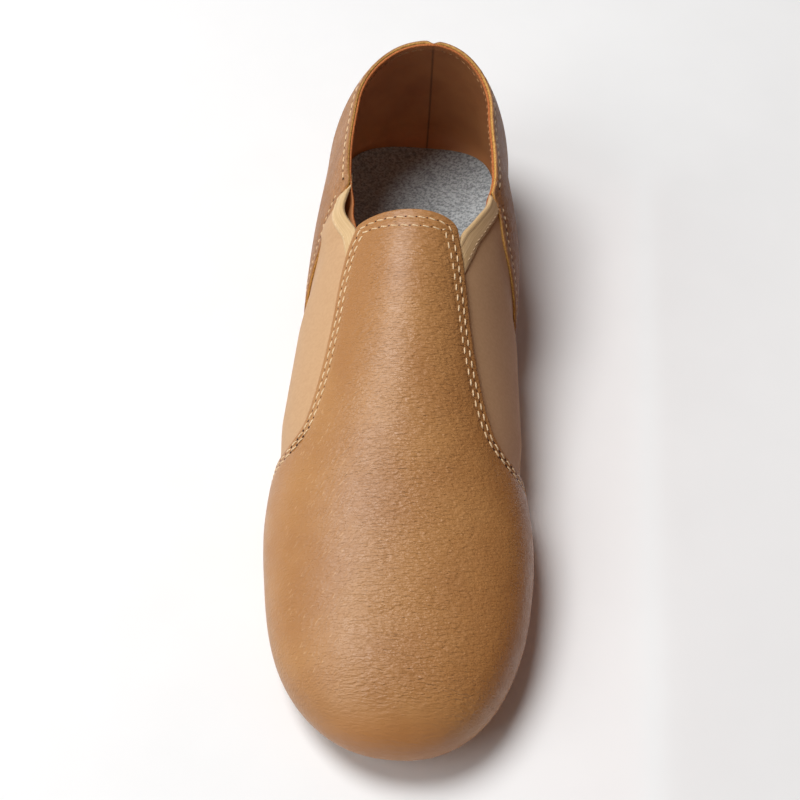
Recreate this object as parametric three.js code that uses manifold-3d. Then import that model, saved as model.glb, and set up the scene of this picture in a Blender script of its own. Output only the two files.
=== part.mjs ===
// Jazz shoe for the right foot: a slip-on with elastic side gores and a split sole.
// Millimetres, +Z up, toe towards -Y, inner side of the foot towards +X.
// The origin lies on the floor, under the middle of the heel.

import * as THREE from 'three';
import Module from 'manifold-3d';
import { mergeVertices } from 'three/addons/utils/BufferGeometryUtils.js';

// Driving sizes of the last, which is the inner face of the upper
const LENGTH = 243;
const BALL_WIDTH = 79.6;
const INSTEP = 59; // height over the inside bottom at the throat
const HEEL_BACK = 33; // from the origin to the back of the last
const TIP_HEIGHT = 14;
const BACK_DEPTH = 61.6; // collar over the inside bottom, at the back seam
const SIDE_DEPTH = 50.6; // collar over the inside bottom, at the sides

// Driving sizes of the layers
const UPPER_WALL = 1.2;
const LEATHER = 1.1;
const BINDING = 0.8;
const BINDING_DROP = 4.8; // height of the binding's strip, measured upright
const INSOLE = 2;
const HEEL_PAD = 8;
const FOREFOOT_PAD = 3;
const ARCH_RISE = 4;
const TOE_SPRING = 5;
const TREAD_STEP = 0.8; // depth of the grooves across the treads
const CLEARANCE = 0.3;
const LAYER_GAP = 0.4; // between the upper and the leather over it
const SEAT_ROOT = 1; // how far a raised seat reaches into its tread

// Places along the shoe, as shares of its length from the heel
const FAN = 0.14; // the heel turns round the last's axis behind this share
const THROAT = 0.362;
const TOE_START = 0.8;
const TOE_SIDE_START = 0.9;
const HEEL_OPEN = 0.27;
const FORE_OPEN = 0.62;
const TOE_CLOSED = 0.955;
const VAMP_END = 0.88; // the last row of the table of the vamp's edge

// Roundness of the outlines: exponents of superellipses
const HEEL_ROUND = 2.12;
const TOE_ROUND = 2.25;
const TOE_SIDE_ROUND = 2.2;

const RIDGE = 90; // angle round a section, in degrees, at the ridge
const KEEL = -90; // and at the middle of the bottom
const MARGIN = -58; // where the lasting margin ends underneath
const RIM_REACH = 0.98; // reach past which the bottom is taken as level with its rim

// Sections of the last. lateral, medial and ridgeX are shares of BALL_WIDTH,
// ridge is a share of INSTEP over the bottom, belly a share of the height from
// bottom to ridge. heel, arch and spring are shares of the heel's drop, of
// ARCH_RISE and of TOE_SPRING. full bows the upper half out, and square sets
// how flat the bottom is.
const SECTIONS = [
  { at: 0.14, lateral: 0.394, medial: 0.345, ridgeX: -0.012, ridge: 1.23, belly: 0.168 },
  { at: 0.27, lateral: 0.418, medial: 0.4, ridgeX: -0.008, ridge: 1.075, belly: 0.2 },
  { at: 0.4, lateral: 0.422, medial: 0.416, ridgeX: -0.013, ridge: 0.925, belly: 0.19 },
  { at: 0.52, lateral: 0.452, medial: 0.432, ridgeX: -0.001, ridge: 0.806, belly: 0.188 },
  { at: 0.63, lateral: 0.479, medial: 0.463, ridgeX: 0.007, ridge: 0.705, belly: 0.205 },
  { at: 0.72, lateral: 0.497, medial: 0.497, ridgeX: 0.016, ridge: 0.598, belly: 0.219 },
  { at: 0.82, lateral: 0.468, medial: 0.479, ridgeX: 0.028, ridge: 0.485, belly: 0.215 },
  { at: 0.91, lateral: 0.446, medial: 0.453, ridgeX: 0.038, ridge: 0.364, belly: 0.2 },
  { at: 1, lateral: 0.428, medial: 0.438, ridgeX: 0.055, ridge: 0.262, belly: 0.191 },
];
const BOTTOMS = [
  { at: 0.14, heel: 1, arch: 0, spring: 0, full: -0.06, square: 3.5 },
  { at: 0.27, heel: 1, arch: 0.18, spring: 0, full: -0.01, square: 2.9 },
  { at: 0.4, heel: 0.8, arch: 0.62, spring: 0, full: -0.095, square: 2.95 },
  { at: 0.52, heel: 0.4, arch: 0.42, spring: 0, full: -0.1, square: 3.2 },
  { at: 0.63, heel: 0.08, arch: 0.06, spring: 0, full: -0.042, square: 3.5 },
  { at: 0.72, heel: 0, arch: 0, spring: 0, full: 0.018, square: 3.8 },
  { at: 0.82, heel: 0, arch: 0, spring: 0.06, full: 0.049, square: 3.6 },
  { at: 0.91, heel: 0, arch: 0, spring: 0.42, full: 0.08, square: 3.3 },
  { at: 1, heel: 0, arch: 0, spring: 1, full: 0.08, square: 3.1 },
];

// Top edge of the quarters and gores. back is a share of the step from
// SIDE_DEPTH up to BACK_DEPTH, lateral and medial are shares of SIDE_DEPTH.
const TOPLINE = [
  { at: 0, back: 1, lateral: 1, medial: 1 },
  { at: 0.05, back: 0.83, lateral: 1, medial: 1 },
  { at: 0.1, back: 0.41, lateral: 1, medial: 1 },
  { at: 0.15, back: 0.11, lateral: 1, medial: 1 },
  { at: 0.22, back: 0, lateral: 1, medial: 1 },
  { at: 0.28, back: 0, lateral: 0.99, medial: 0.985 },
  { at: 0.3, back: 0, lateral: 0.966, medial: 0.985 },
  { at: 0.33, back: 0, lateral: 0.94, medial: 1.012 },
  { at: 0.365, back: 0, lateral: 0.97, medial: 1.04 },
];

// Edge of the vamp, from the tab down to the bottom and on round the toe.
// latAt, medAt and ridgeAt are shares of the length, latAngle and medAngle the
// angle round the section where the leather ends.
const VAMP = [
  { row: 0, latAt: 0.366, latAngle: 56, medAt: 0.377, medAngle: 67, ridgeAt: 0.357 },
  { row: 1, latAt: 0.392, latAngle: 51, medAt: 0.404, medAngle: 63, ridgeAt: 0.4 },
  { row: 2, latAt: 0.43, latAngle: 47.5, medAt: 0.448, medAngle: 59, ridgeAt: 0.445 },
  { row: 3, latAt: 0.48, latAngle: 45.5, medAt: 0.496, medAngle: 56, ridgeAt: 0.49 },
  { row: 4, latAt: 0.525, latAngle: 43.5, medAt: 0.542, medAngle: 52, ridgeAt: 0.535 },
  { row: 5, latAt: 0.572, latAngle: 40.5, medAt: 0.582, medAngle: 47.5, ridgeAt: 0.58 },
  { row: 6, latAt: 0.608, latAngle: 36, medAt: 0.611, medAngle: 42.5, ridgeAt: 0.62 },
  { row: 7, latAt: 0.628, latAngle: 26, medAt: 0.63, medAngle: 30, ridgeAt: 0.655 },
  { row: 8, latAt: 0.638, latAngle: 6, medAt: 0.638, medAngle: 9, ridgeAt: 0.69 },
  { row: 9, latAt: 0.644, latAngle: -24, medAt: 0.644, medAngle: -24, ridgeAt: 0.72 },
  { row: 10, latAt: 0.65, latAngle: MARGIN, medAt: 0.65, medAngle: MARGIN, ridgeAt: 0.748 },
  { row: 11, latAt: 0.7, latAngle: MARGIN, medAt: 0.7, medAngle: MARGIN, ridgeAt: 0.778 },
  { row: 12, latAt: 0.758, latAngle: MARGIN, medAt: 0.758, medAngle: MARGIN, ridgeAt: 0.81 },
  { row: 13, latAt: 0.82, latAngle: MARGIN, medAt: 0.82, medAngle: MARGIN, ridgeAt: 0.845 },
  { row: 14, latAt: VAMP_END, latAngle: MARGIN, medAt: VAMP_END, medAngle: MARGIN, ridgeAt: 0.888 },
];
const TAB_CORNER = 2.9; // exponent that rounds the tab's two corners
const TOE_ROWS = [0.925, TOE_CLOSED, 0.974, 0.988, 0.997, 1];

// Front edge of the quarters, from the collar (0) down to the bottom (1)
const QUARTER = [
  { down: 0, lateral: 0.287, medial: 0.284 },
  { down: 0.08, lateral: 0.304, medial: 0.303 },
  { down: 0.2, lateral: 0.338, medial: 0.334 },
  { down: 0.34, lateral: 0.363, medial: 0.358 },
  { down: 0.5, lateral: 0.394, medial: 0.388 },
  { down: 0.7, lateral: 0.425, medial: 0.424 },
  { down: 1, lateral: 0.445, medial: 0.445 },
];

// Outlines of the two treads: shares of the length and of the last's width
const FORE_TREAD = { back: 0.56, front: 0.966, wide: 0.87, backRound: 0.07 };
const HEEL_TREAD = { back: 0.012, front: 0.315, wide: 0.9, frontRound: 0.06 };
const INSOLE_PLAN = { back: 0.013, front: 0.968, wide: 0.855 };
const FORE_RIBS = { from: 0.62, to: 0.85, count: 9 };
const HEEL_RIBS = { from: 0.05, to: 0.27, count: 5 };

// Colours, roughness
const FINISHES = {
  vamp: { color: '#be8a58', roughness: 0.5 },
  quarter: { color: '#b98a63', roughness: 0.62 },
  gore: { color: '#cfa574', roughness: 0.85 },
  binding: { color: '#dcc08f', roughness: 0.8 },
  insole: { color: '#84848a', roughness: 0.95 },
  sole: { color: '#8d6440', roughness: 0.75 },
};

const radians = (degrees) => THREE.MathUtils.degToRad(degrees);
const mix = (a, b, share) => a + (b - a) * share;
const clamp = (value, low, high) => Math.min(Math.max(value, low), high);
const column = (table, name) => table.map((entry) => entry[name]);

// Slopes of a cubic through the points that starts level and ends straight
function smoothSlopes(at, values) {
  const last = at.length - 1;
  const step = at.slice(1).map((place, i) => place - at[i]);
  const rise = step.map((size, i) => (values[i + 1] - values[i]) / size);
  const diagonal = [1];
  const right = [0];
  for (let i = 1; i < last; i += 1) {
    const under = step[i];
    const ratio = under / diagonal[i - 1];
    const above = i === 1 ? 0 : step[i - 2];
    diagonal.push(2 * (step[i - 1] + step[i]) - ratio * above);
    const wanted = 3 * (step[i] * rise[i - 1] + step[i - 1] * rise[i]);
    right.push(wanted - ratio * right[i - 1]);
  }
  const ratio = 1 / diagonal[last - 1];
  diagonal.push(2 - ratio * step[last - 2]);
  right.push(3 * rise[last - 1] - ratio * right[last - 1]);
  const slopes = new Array(last + 1).fill(0);
  slopes[last] = right[last] / diagonal[last];
  for (let i = last - 1; i > 0; i -= 1) {
    slopes[i] = (right[i] - step[i - 1] * slopes[i + 1]) / diagonal[i];
  }
  return slopes;
}

// Slopes of a cubic that never swings past the points it joins
function steadySlopes(at, values) {
  const last = at.length - 1;
  const step = at.slice(1).map((place, i) => place - at[i]);
  const rise = step.map((size, i) => (values[i + 1] - values[i]) / size);
  const slopes = [rise[0]];
  for (let i = 1; i < last; i += 1) {
    const same = rise[i - 1] * rise[i] > 0;
    const before = 2 * step[i] + step[i - 1];
    const after = step[i] + 2 * step[i - 1];
    const mean = (before + after) / (before / rise[i - 1] + after / rise[i]);
    slopes.push(same ? mean : 0);
  }
  slopes.push(rise[last - 1]);
  return slopes;
}

// A function of place that runs through one column of a table
function curve(table, name, key = 'at', slopesOf = steadySlopes) {
  const at = column(table, key);
  const values = column(table, name);
  const slopes = slopesOf(at, values);
  return (place) => {
    const x = clamp(place, at[0], at[at.length - 1]);
    const found = at.findIndex((end, i) => i > 0 && x <= end) - 1;
    const i = Math.max(found, 0);
    const size = at[i + 1] - at[i];
    const u = (x - at[i]) / size;
    const v = 1 - u;
    const ends = values[i] * (1 + 2 * u) * v * v + values[i + 1] * (1 + 2 * v) * u * u;
    return ends + size * u * v * (slopes[i] * v - slopes[i + 1] * u);
  };
}

const lastCurve = (table, name) => curve(table, name, 'at', smoothSlopes);
const lateralAt = lastCurve(SECTIONS, 'lateral');
const medialAt = lastCurve(SECTIONS, 'medial');
const ridgeXAt = lastCurve(SECTIONS, 'ridgeX');
const ridgeAt = lastCurve(SECTIONS, 'ridge');
const bellyAt = lastCurve(SECTIONS, 'belly');
const heelAt = lastCurve(BOTTOMS, 'heel');
const archAt = lastCurve(BOTTOMS, 'arch');
const springAt = lastCurve(BOTTOMS, 'spring');
const fullAt = lastCurve(BOTTOMS, 'full');
const squareAt = lastCurve(BOTTOMS, 'square');

// Layers, each an offset outwards from the last
const OVERLAY_IN = UPPER_WALL + LAYER_GAP;
const OVERLAY_OUT = OVERLAY_IN + LEATHER;
const WRAP = OVERLAY_OUT + CLEARANCE;

const yAt = (share) => HEEL_BACK - share * LENGTH;
const shareAt = (y) => (HEEL_BACK - y) / LENGTH;

// How far the underside of a tread of even thickness lies over the floor
function rise(share) {
  const drop = (HEEL_PAD - FOREFOOT_PAD) * heelAt(share);
  return Math.max(drop + ARCH_RISE * archAt(share) + TOE_SPRING * springAt(share), 0);
}

const ovalEnd = (share, power) => (1 - clamp(share, 0, 1) ** power) ** (1 / power);

// One cross-section of the last
function sectionAt(share) {
  const at = Math.max(share, FAN);
  const planEnd = ovalEnd((at - TOE_START) / (1 - TOE_START), TOE_ROUND);
  const sideEnd = ovalEnd((at - TOE_SIDE_START) / (1 - TOE_SIDE_START), TOE_SIDE_ROUND);
  const bottom = WRAP + FOREFOOT_PAD + rise(at);
  const ridge = bottom + INSTEP * ridgeAt(at);
  const belly = mix(bottom, ridge, bellyAt(at));
  return {
    y: yAt(at),
    ridgeX: BALL_WIDTH * ridgeXAt(at),
    half: { lateral: BALL_WIDTH * lateralAt(at) * planEnd, medial: BALL_WIDTH * medialAt(at) * planEnd },
    bottom: mix(TIP_HEIGHT, bottom, sideEnd),
    belly: mix(TIP_HEIGHT, belly, sideEnd),
    ridge: mix(TIP_HEIGHT, ridge, sideEnd),
    full: fullAt(at),
    square: squareAt(at),
  };
}

// Reach (share of the half width) and height at an angle round a section
function profile(section, angle) {
  const turn = radians(angle);
  const up = Math.sin(turn);
  const out = Math.max(Math.cos(turn), 0);
  if (angle >= 0) {
    const height = up * (1 + section.full * out * out);
    return { reach: out * (1 + section.full * up * up), z: mix(section.belly, section.ridge, height) };
  }
  const power = 2 / section.square;
  return { reach: out ** power, z: mix(section.belly, section.bottom, (-up) ** power) };
}

// Angle of the upper half at which a section reaches a height
function angleAt(section, z) {
  let low = 0;
  let high = RIDGE;
  for (let i = 0; i < 40; i += 1) {
    const middle = (low + high) / 2;
    if (profile(section, middle).z < z) {
      low = middle;
    } else {
      high = middle;
    }
  }
  return low;
}

const signOf = (side) => (side === 'lateral' ? -1 : 1);

// Point of the last. A share under FAN turns the heel's section round its axis.
function lastPoint(share, angle, side) {
  const section = sectionAt(share);
  const { reach, z } = profile(section, angle);
  const turn = radians(90 * clamp(1 - share / FAN, 0, 1));
  const power = 2 / HEEL_ROUND;
  const across = section.half[side] * reach * Math.max(Math.cos(turn), 0) ** power;
  const behind = FAN * LENGTH * reach * Math.sin(turn) ** power;
  return new THREE.Vector3(section.ridgeX + signOf(side) * across, section.y + behind, z);
}

// Outward normal of the last, from differences along and round it
function lastNormal(share, angle, side) {
  const sign = signOf(side);
  if (share >= 1) {
    return new THREE.Vector3(0, -1, 0);
  }
  const atMiddle = angle <= KEEL || angle >= RIDGE;
  if (atMiddle && share < FAN) {
    return new THREE.Vector3(0, 0, Math.sign(angle));
  }
  const step = Math.min(0.001, (1 - share) / 4);
  const along = lastPoint(share + step, angle, side).sub(lastPoint(Math.max(share - step, 0), angle, side));
  const turn = 0.2;
  const under = lastPoint(share, Math.max(angle - turn, KEEL), side);
  const over = lastPoint(share, Math.min(angle + turn, RIDGE), side);
  const round = atMiddle ? new THREE.Vector3(-sign * Math.sign(angle), 0, 0) : over.sub(under);
  const normal = round.cross(along).multiplyScalar(sign);
  if (share === 0) {
    normal.x = 0;
  }
  return normal.normalize();
}

function offsetPoint(node, offset) {
  const normal = lastNormal(node.share, node.angle, node.side);
  return lastPoint(node.share, node.angle, node.side).addScaledVector(normal, offset);
}

// Builds a mesh's geometry from points and faces, with points that meet shared
class Surface {
  constructor() {
    this.points = [];
    this.faces = [];
    this.known = new Map();
  }

  add(point) {
    const key = [point.x, point.y, point.z].map((value) => Math.round(value * 500)).join(' ');
    if (!this.known.has(key)) {
      this.known.set(key, this.points.length);
      this.points.push(point);
    }
    return this.known.get(key);
  }

  face(a, b, c) {
    if (a !== b && b !== c && c !== a) {
      this.faces.push([a, b, c]);
    }
  }

  quad(a, b, c, d) {
    this.face(a, b, c);
    this.face(a, c, d);
  }

  // Edges that only one face uses, in that face's direction
  openEdges() {
    const edges = new Map();
    for (const [a, b, c] of this.faces) {
      for (const [from, to] of [[a, b], [b, c], [c, a]]) {
        const back = `${to} ${from}`;
        if (edges.has(back)) {
          edges.delete(back);
        } else {
          edges.set(`${from} ${to}`, [from, to]);
        }
      }
    }
    return [...edges.values()];
  }

  geometry() {
    const used = [...new Set(this.faces.flat())];
    const numbers = new Map(used.map((id, i) => [id, i]));
    const geometry = new THREE.BufferGeometry();
    const positions = used.flatMap((id) => this.points[id].toArray());
    geometry.setAttribute('position', new THREE.Float32BufferAttribute(positions, 3));
    geometry.setIndex(this.faces.flat().map((id) => numbers.get(id)));
    return geometry;
  }
}

// A closed wall between two offsets over a grid of places on the last.
// Rows run from heel to toe and columns from lateral to medial over the top.
function wall(grid, inner, outer, present = () => true) {
  const surface = new Surface();
  const twin = new Map();
  const ids = grid.map((line) => line.map((node) => {
    const outside = surface.add(offsetPoint(node, outer));
    twin.set(outside, surface.add(offsetPoint(node, inner)));
    return outside;
  }));
  for (let i = 0; i + 1 < ids.length; i += 1) {
    for (let j = 0; j + 1 < ids[i].length; j += 1) {
      const corners = [ids[i][j], ids[i + 1][j], ids[i + 1][j + 1], ids[i][j + 1]];
      if (grid[i][j + 1].side === 'medial') {
        corners.push(corners.shift());
      }
      if (present(i, j)) {
        surface.quad(...corners);
      }
    }
  }
  const rims = surface.openEdges();
  for (const [a, b, c] of [...surface.faces]) {
    surface.face(twin.get(a), twin.get(c), twin.get(b));
  }
  for (const [from, to] of rims) {
    surface.quad(to, from, twin.get(from), twin.get(to));
  }
  return surface.geometry();
}

const steps = (from, to, count) => Array.from({ length: count + 1 }, (_, i) => mix(from, to, i / count));

const toplineBack = curve(TOPLINE, 'back');
const toplineOf = { lateral: curve(TOPLINE, 'lateral'), medial: curve(TOPLINE, 'medial') };

// Height of the collar and gore edge over the floor
function toplineHeight(share, side) {
  const over = SIDE_DEPTH * toplineOf[side](share) + (BACK_DEPTH - SIDE_DEPTH) * toplineBack(share);
  return WRAP + HEEL_PAD + over;
}

const toplineAngle = (share, side) => angleAt(sectionAt(share), toplineHeight(share, side));

// Angles from the lasting margin up to an edge, closest where the bottom turns up
const TURN_UP = [0, 0.1, 0.19, 0.28, 0.37, 0.46, 0.57, 0.68, 0.79, 0.9, 1];
const fromMargin = (edge) => TURN_UP.map((part) => mix(MARGIN, edge, part));

// Columns of the heel half, which lining and quarters share
const HEEL_COLUMNS = [...steps(0, FAN, 8), ...steps(FAN, HEEL_OPEN, 3).slice(1)];

// Upper: lining and gores as one shell, open at the collar and, where a tread
// closes it, underneath
function upper() {
  const underCells = 2;
  const sideCells = TURN_UP.length - 1;
  const topCells = 4;
  const half = underCells + sideCells + topCells;
  const shares = [
    ...HEEL_COLUMNS,
    ...steps(HEEL_OPEN, THROAT, 3).slice(1),
    ...steps(THROAT, FORE_OPEN, 6).slice(1),
    ...steps(FORE_OPEN, VAMP_END, 6).slice(1),
    ...TOE_ROWS,
  ];
  const angles = (share, side) => {
    const open = toplineAngle(Math.min(share, THROAT), side);
    return [
      ...steps(KEEL, MARGIN, underCells),
      ...fromMargin(open).slice(1),
      ...steps(open, RIDGE, topCells).slice(1),
    ];
  };
  const grid = shares.map((share) => {
    const lateral = angles(share, 'lateral').map((angle) => ({ share, angle, side: 'lateral' }));
    const medial = angles(share, 'medial').map((angle) => ({ share, angle, side: 'medial' }));
    return [...lateral, ...medial.reverse().slice(1)];
  });
  const present = (i, j) => {
    const level = j < half ? j : 2 * half - 1 - j;
    const middle = (shares[i] + shares[i + 1]) / 2;
    const overTopline = middle < THROAT && level >= underCells + sideCells;
    const arch = middle > HEEL_OPEN && middle < FORE_OPEN;
    const underneath = level < underCells && !arch && middle < TOE_CLOSED;
    return !overTopline && !underneath;
  };
  return wall(grid, 0, UPPER_WALL, present);
}

const vampCurve = (name) => curve(VAMP, name, 'row');
const vampEdge = {
  lateral: { share: vampCurve('latAt'), angle: vampCurve('latAngle') },
  medial: { share: vampCurve('medAt'), angle: vampCurve('medAngle') },
};
const vampRidge = vampCurve('ridgeAt');

// Place on the vamp: row along it, across 0 at its edge and 1 at the ridge
function vampNode(row, across, side) {
  const edge = vampEdge[side];
  const corner = (1 - (1 - across) ** TAB_CORNER) ** (1 / TAB_CORNER);
  const square = mix(corner, across, clamp(row, 0, 1));
  return {
    share: mix(edge.share(row), vampRidge(row), row < 1 ? square : across),
    angle: mix(edge.angle(row), RIDGE, across),
    side,
  };
}

// Vamp: toe leather with the tab that covers the instep
function vamp() {
  const underCells = 2;
  const fromEdge = [0, 0.05, 0.1, 0.155, 0.21, 0.27, 0.34, 0.41, 0.49, 0.57, 0.65, 0.73, 0.82, 0.91, 1];
  const half = underCells + fromEdge.length - 1;
  const rows = steps(0, VAMP.length - 1, 2 * (VAMP.length - 1));
  const under = steps(KEEL, MARGIN, underCells).slice(0, underCells);
  const line = (row, side) => [
    ...under.map((angle) => ({ share: vampEdge[side].share(row), angle, side })),
    ...fromEdge.map((across) => vampNode(row, across, side)),
  ];
  const toeLine = (share, side) => [
    ...under.map((angle) => ({ share, angle, side })),
    ...fromEdge.map((across) => ({ share, angle: mix(MARGIN, RIDGE, across), side })),
  ];
  const join = (make, at) => [...make(at, 'lateral'), ...make(at, 'medial').reverse().slice(1)];
  const grid = [...rows.map((row) => join(line, row)), ...TOE_ROWS.map((share) => join(toeLine, share))];
  const firstClosed = rows.length + TOE_ROWS.indexOf(TOE_CLOSED);
  const present = (i, j) => {
    const level = j < half ? j : 2 * half - 1 - j;
    return level >= underCells || i >= firstClosed;
  };
  return wall(grid, OVERLAY_IN, OVERLAY_OUT, present);
}

const quarterFront = { lateral: curve(QUARTER, 'lateral', 'down'), medial: curve(QUARTER, 'medial', 'down') };

// Quarter: the leather of one side of the heel
function quarter(side) {
  const seam = (CLEARANCE / BALL_WIDTH) * FAN;
  const slanted = 4;
  const columns = [...HEEL_COLUMNS.map((share) => () => Math.max(share, seam))];
  for (const part of steps(0, 1, slanted).slice(1)) {
    columns.push((down) => mix(HEEL_OPEN, quarterFront[side](down), part));
  }
  const downs = TURN_UP.map((part) => 1 - part);
  const grid = columns.map((shareFor) => downs.map((down) => {
    const share = shareFor(down);
    return { share, angle: mix(toplineAngle(share, side), MARGIN, down), side };
  }));
  if (side === 'medial') {
    grid.forEach((line) => line.reverse());
  }
  return wall(grid, OVERLAY_IN, OVERLAY_OUT);
}

// Angle of the binding at a place between its top edge (0) and its lower edge (1)
function bindingAngle(share, down, side) {
  return angleAt(sectionAt(share), toplineHeight(share, side) - BINDING_DROP * down);
}

const SIDE_ROWS = 3; // rows of the vamp's edge beside the tab
const BINDING_END = CLEARANCE + 1.5 * LEATHER; // from the binding's end to the vamp's edge

// Where the binding's strip meets the quarter, and where it meets the vamp
function bindingBack(down, side) {
  let share = quarterFront[side](0);
  for (let i = 0; i < 6; i += 1) {
    const top = toplineAngle(share, side);
    share = quarterFront[side]((top - bindingAngle(share, down, side)) / (top - MARGIN));
  }
  return share + (CLEARANCE + LEATHER) / LENGTH;
}

function bindingFront(down, side) {
  const edge = vampEdge[side];
  const meets = (row) => edge.angle(row) <= bindingAngle(edge.share(row), down, side);
  const row = steps(0, SIDE_ROWS, SIDE_ROWS * 50).find(meets) ?? 0;
  return edge.share(row) - BINDING_END / LENGTH;
}

// Binding: the folded elastic along the top edge of one gore
function binding(side) {
  const downs = side === 'lateral' ? [1, 0.5, 0] : [0, 0.5, 1];
  const grid = steps(0, 1, 10).map((along) => downs.map((down) => {
    const share = mix(bindingBack(down, side), bindingFront(down, side), along);
    return { share, angle: bindingAngle(share, down, side), side };
  }));
  return wall(grid, OVERLAY_IN, OVERLAY_IN + BINDING);
}

// Half width of the last's outline in plan
function planHalf(share, side) {
  const at = clamp(share, 0, 1);
  const heelEnd = ovalEnd((FAN - at) / FAN, HEEL_ROUND);
  return sectionAt(at).half[side] * (at < FAN ? heelEnd : 1);
}

// Height of the last's bottom over a place in plan
function bottomHeight(x, y) {
  const share = clamp(shareAt(y), 0, 1);
  const section = sectionAt(share);
  const side = x < section.ridgeX ? 'lateral' : 'medial';
  const across = Math.abs(x - section.ridgeX) / Math.max(section.half[side], 0.01);
  const behind = Math.max(y - section.y, 0) / (FAN * LENGTH);
  const reach = (across ** HEEL_ROUND + behind ** HEEL_ROUND) ** (1 / HEEL_ROUND);
  return mix(section.belly, section.bottom, ovalEnd(Math.min(reach, RIM_REACH), section.square));
}

// Height of a layer that lies under the last's bottom
function underBottom(x, y, depth) {
  const step = 0.5;
  const slopeX = (bottomHeight(x + step, y) - bottomHeight(x - step, y)) / (2 * step);
  const slopeY = (bottomHeight(x, y + step) - bottomHeight(x, y - step)) / (2 * step);
  return bottomHeight(x, y) - depth * Math.hypot(1, slopeX, slopeY);
}

// A closed slab over an outline in plan, between two heights.
// halfAt gives the half width on a side, which is nothing at both ends.
function slab(shares, halfAt, topAt, undersideAt, crossCells = 6) {
  const surface = new Surface();
  const across = steps(-1, 1, 2 * crossCells);
  const layer = (heightAt) => shares.map((share) => across.map((place) => {
    const side = place < 0 ? 'lateral' : 'medial';
    const even = Math.sin(radians(90 * place));
    const x = sectionAt(share).ridgeX + even * halfAt(share, side);
    const y = yAt(share);
    return surface.add(new THREE.Vector3(x, y, heightAt(x, y, share)));
  }));
  const top = layer(topAt);
  const underside = layer(undersideAt);
  for (let i = 0; i + 1 < shares.length; i += 1) {
    for (let j = 0; j + 1 < across.length; j += 1) {
      surface.quad(top[i][j], top[i + 1][j], top[i + 1][j + 1], top[i][j + 1]);
      surface.quad(underside[i][j], underside[i][j + 1], underside[i + 1][j + 1], underside[i + 1][j]);
    }
  }
  const lastRow = shares.length - 1;
  const lastPlace = across.length - 1;
  for (let i = 0; i < lastRow; i += 1) {
    surface.quad(top[i][0], underside[i][0], underside[i + 1][0], top[i + 1][0]);
    surface.quad(underside[i][lastPlace], top[i][lastPlace], top[i + 1][lastPlace], underside[i + 1][lastPlace]);
  }
  for (let j = 0; j < lastPlace; j += 1) {
    surface.quad(underside[0][j], top[0][j], top[0][j + 1], underside[0][j + 1]);
    surface.quad(top[lastRow][j], underside[lastRow][j], underside[lastRow][j + 1], top[lastRow][j + 1]);
  }
  return surface.geometry();
}

const wasm = await Module();
wasm.setup();

function solid(geometry) {
  const bare = geometry.clone();
  bare.deleteAttribute('normal');
  bare.deleteAttribute('uv');
  const merged = mergeVertices(bare, 0.001);
  const vertProperties = new Float32Array(merged.attributes.position.array);
  const triVerts = new Uint32Array(merged.index.array);
  return new wasm.Manifold(new wasm.Mesh({ numProp: 3, vertProperties, triVerts }));
}

function geometryOf(body) {
  const { vertProperties, triVerts } = body.getMesh();
  const geometry = new THREE.BufferGeometry();
  geometry.setAttribute('position', new THREE.Float32BufferAttribute(vertProperties, 3));
  geometry.setIndex([...triVerts]);
  return geometry;
}

// Shares that crowd towards both ends of a slab
const rounded = (from, to, count) => steps(0, 180, count).map((turn) => {
  return mix(from, to, (1 - Math.cos(radians(turn))) / 2);
});

// Insole: a felt sheet on the inside bottom, from heel to toe
function insole() {
  const plan = INSOLE_PLAN;
  const halfAt = (share, side) => plan.wide * planHalf((share - plan.back) / (plan.front - plan.back), side);
  const underside = (x, y) => bottomHeight(x, y) + CLEARANCE;
  const top = (x, y) => bottomHeight(x, y) + CLEARANCE + INSOLE;
  return slab(rounded(plan.back, plan.front, 24), halfAt, top, underside, 4);
}

// Raised seat that fills the opening in the upper's bottom
function seat(from, to) {
  const inset = 2 * CLEARANCE;
  const start = from === 0 ? shareAt(yAt(FAN) + openReach(FAN) * FAN * LENGTH - inset) : from + inset / LENGTH;
  const end = to - inset / LENGTH;
  const heelHalf = (share, side) => {
    const behind = (yAt(share) - yAt(FAN)) / (yAt(start) - yAt(FAN));
    return (openReach(FAN) * sectionAt(FAN).half[side] - inset) * ovalEnd(behind, HEEL_ROUND);
  };
  const halfAt = (share, side) => {
    const open = openReach(share) * sectionAt(share).half[side] - inset;
    return share < FAN ? heelHalf(share, side) : open;
  };
  const shares = from === 0
    ? [...rounded(start, 2 * FAN - start, 12).slice(0, 7), ...steps(FAN, end, 4).slice(1)]
    : steps(start, end, 12);
  return slab(shares, halfAt, (x, y) => bottomHeight(x, y), (x, y) => underBottom(x, y, WRAP + SEAT_ROOT), 4);
}

// Reach of the opening's edge, as a share of the half width
const openReach = (share) => profile(sectionAt(share), MARGIN).reach;

// Ribs across a tread: bars cut into its underside
function ribs(rib, reachX) {
  const bars = steps(rib.from, rib.to, rib.count - 1).map((share) => {
    const width = ((rib.to - rib.from) * LENGTH) / (rib.count - 1) / 3;
    const bar = new THREE.BoxGeometry(2 * reachX, width, 2 * TREAD_STEP);
    bar.translate(0, yAt(share), 0);
    return solid(bar);
  });
  return bars.reduce((all, bar) => all.add(bar));
}

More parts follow.
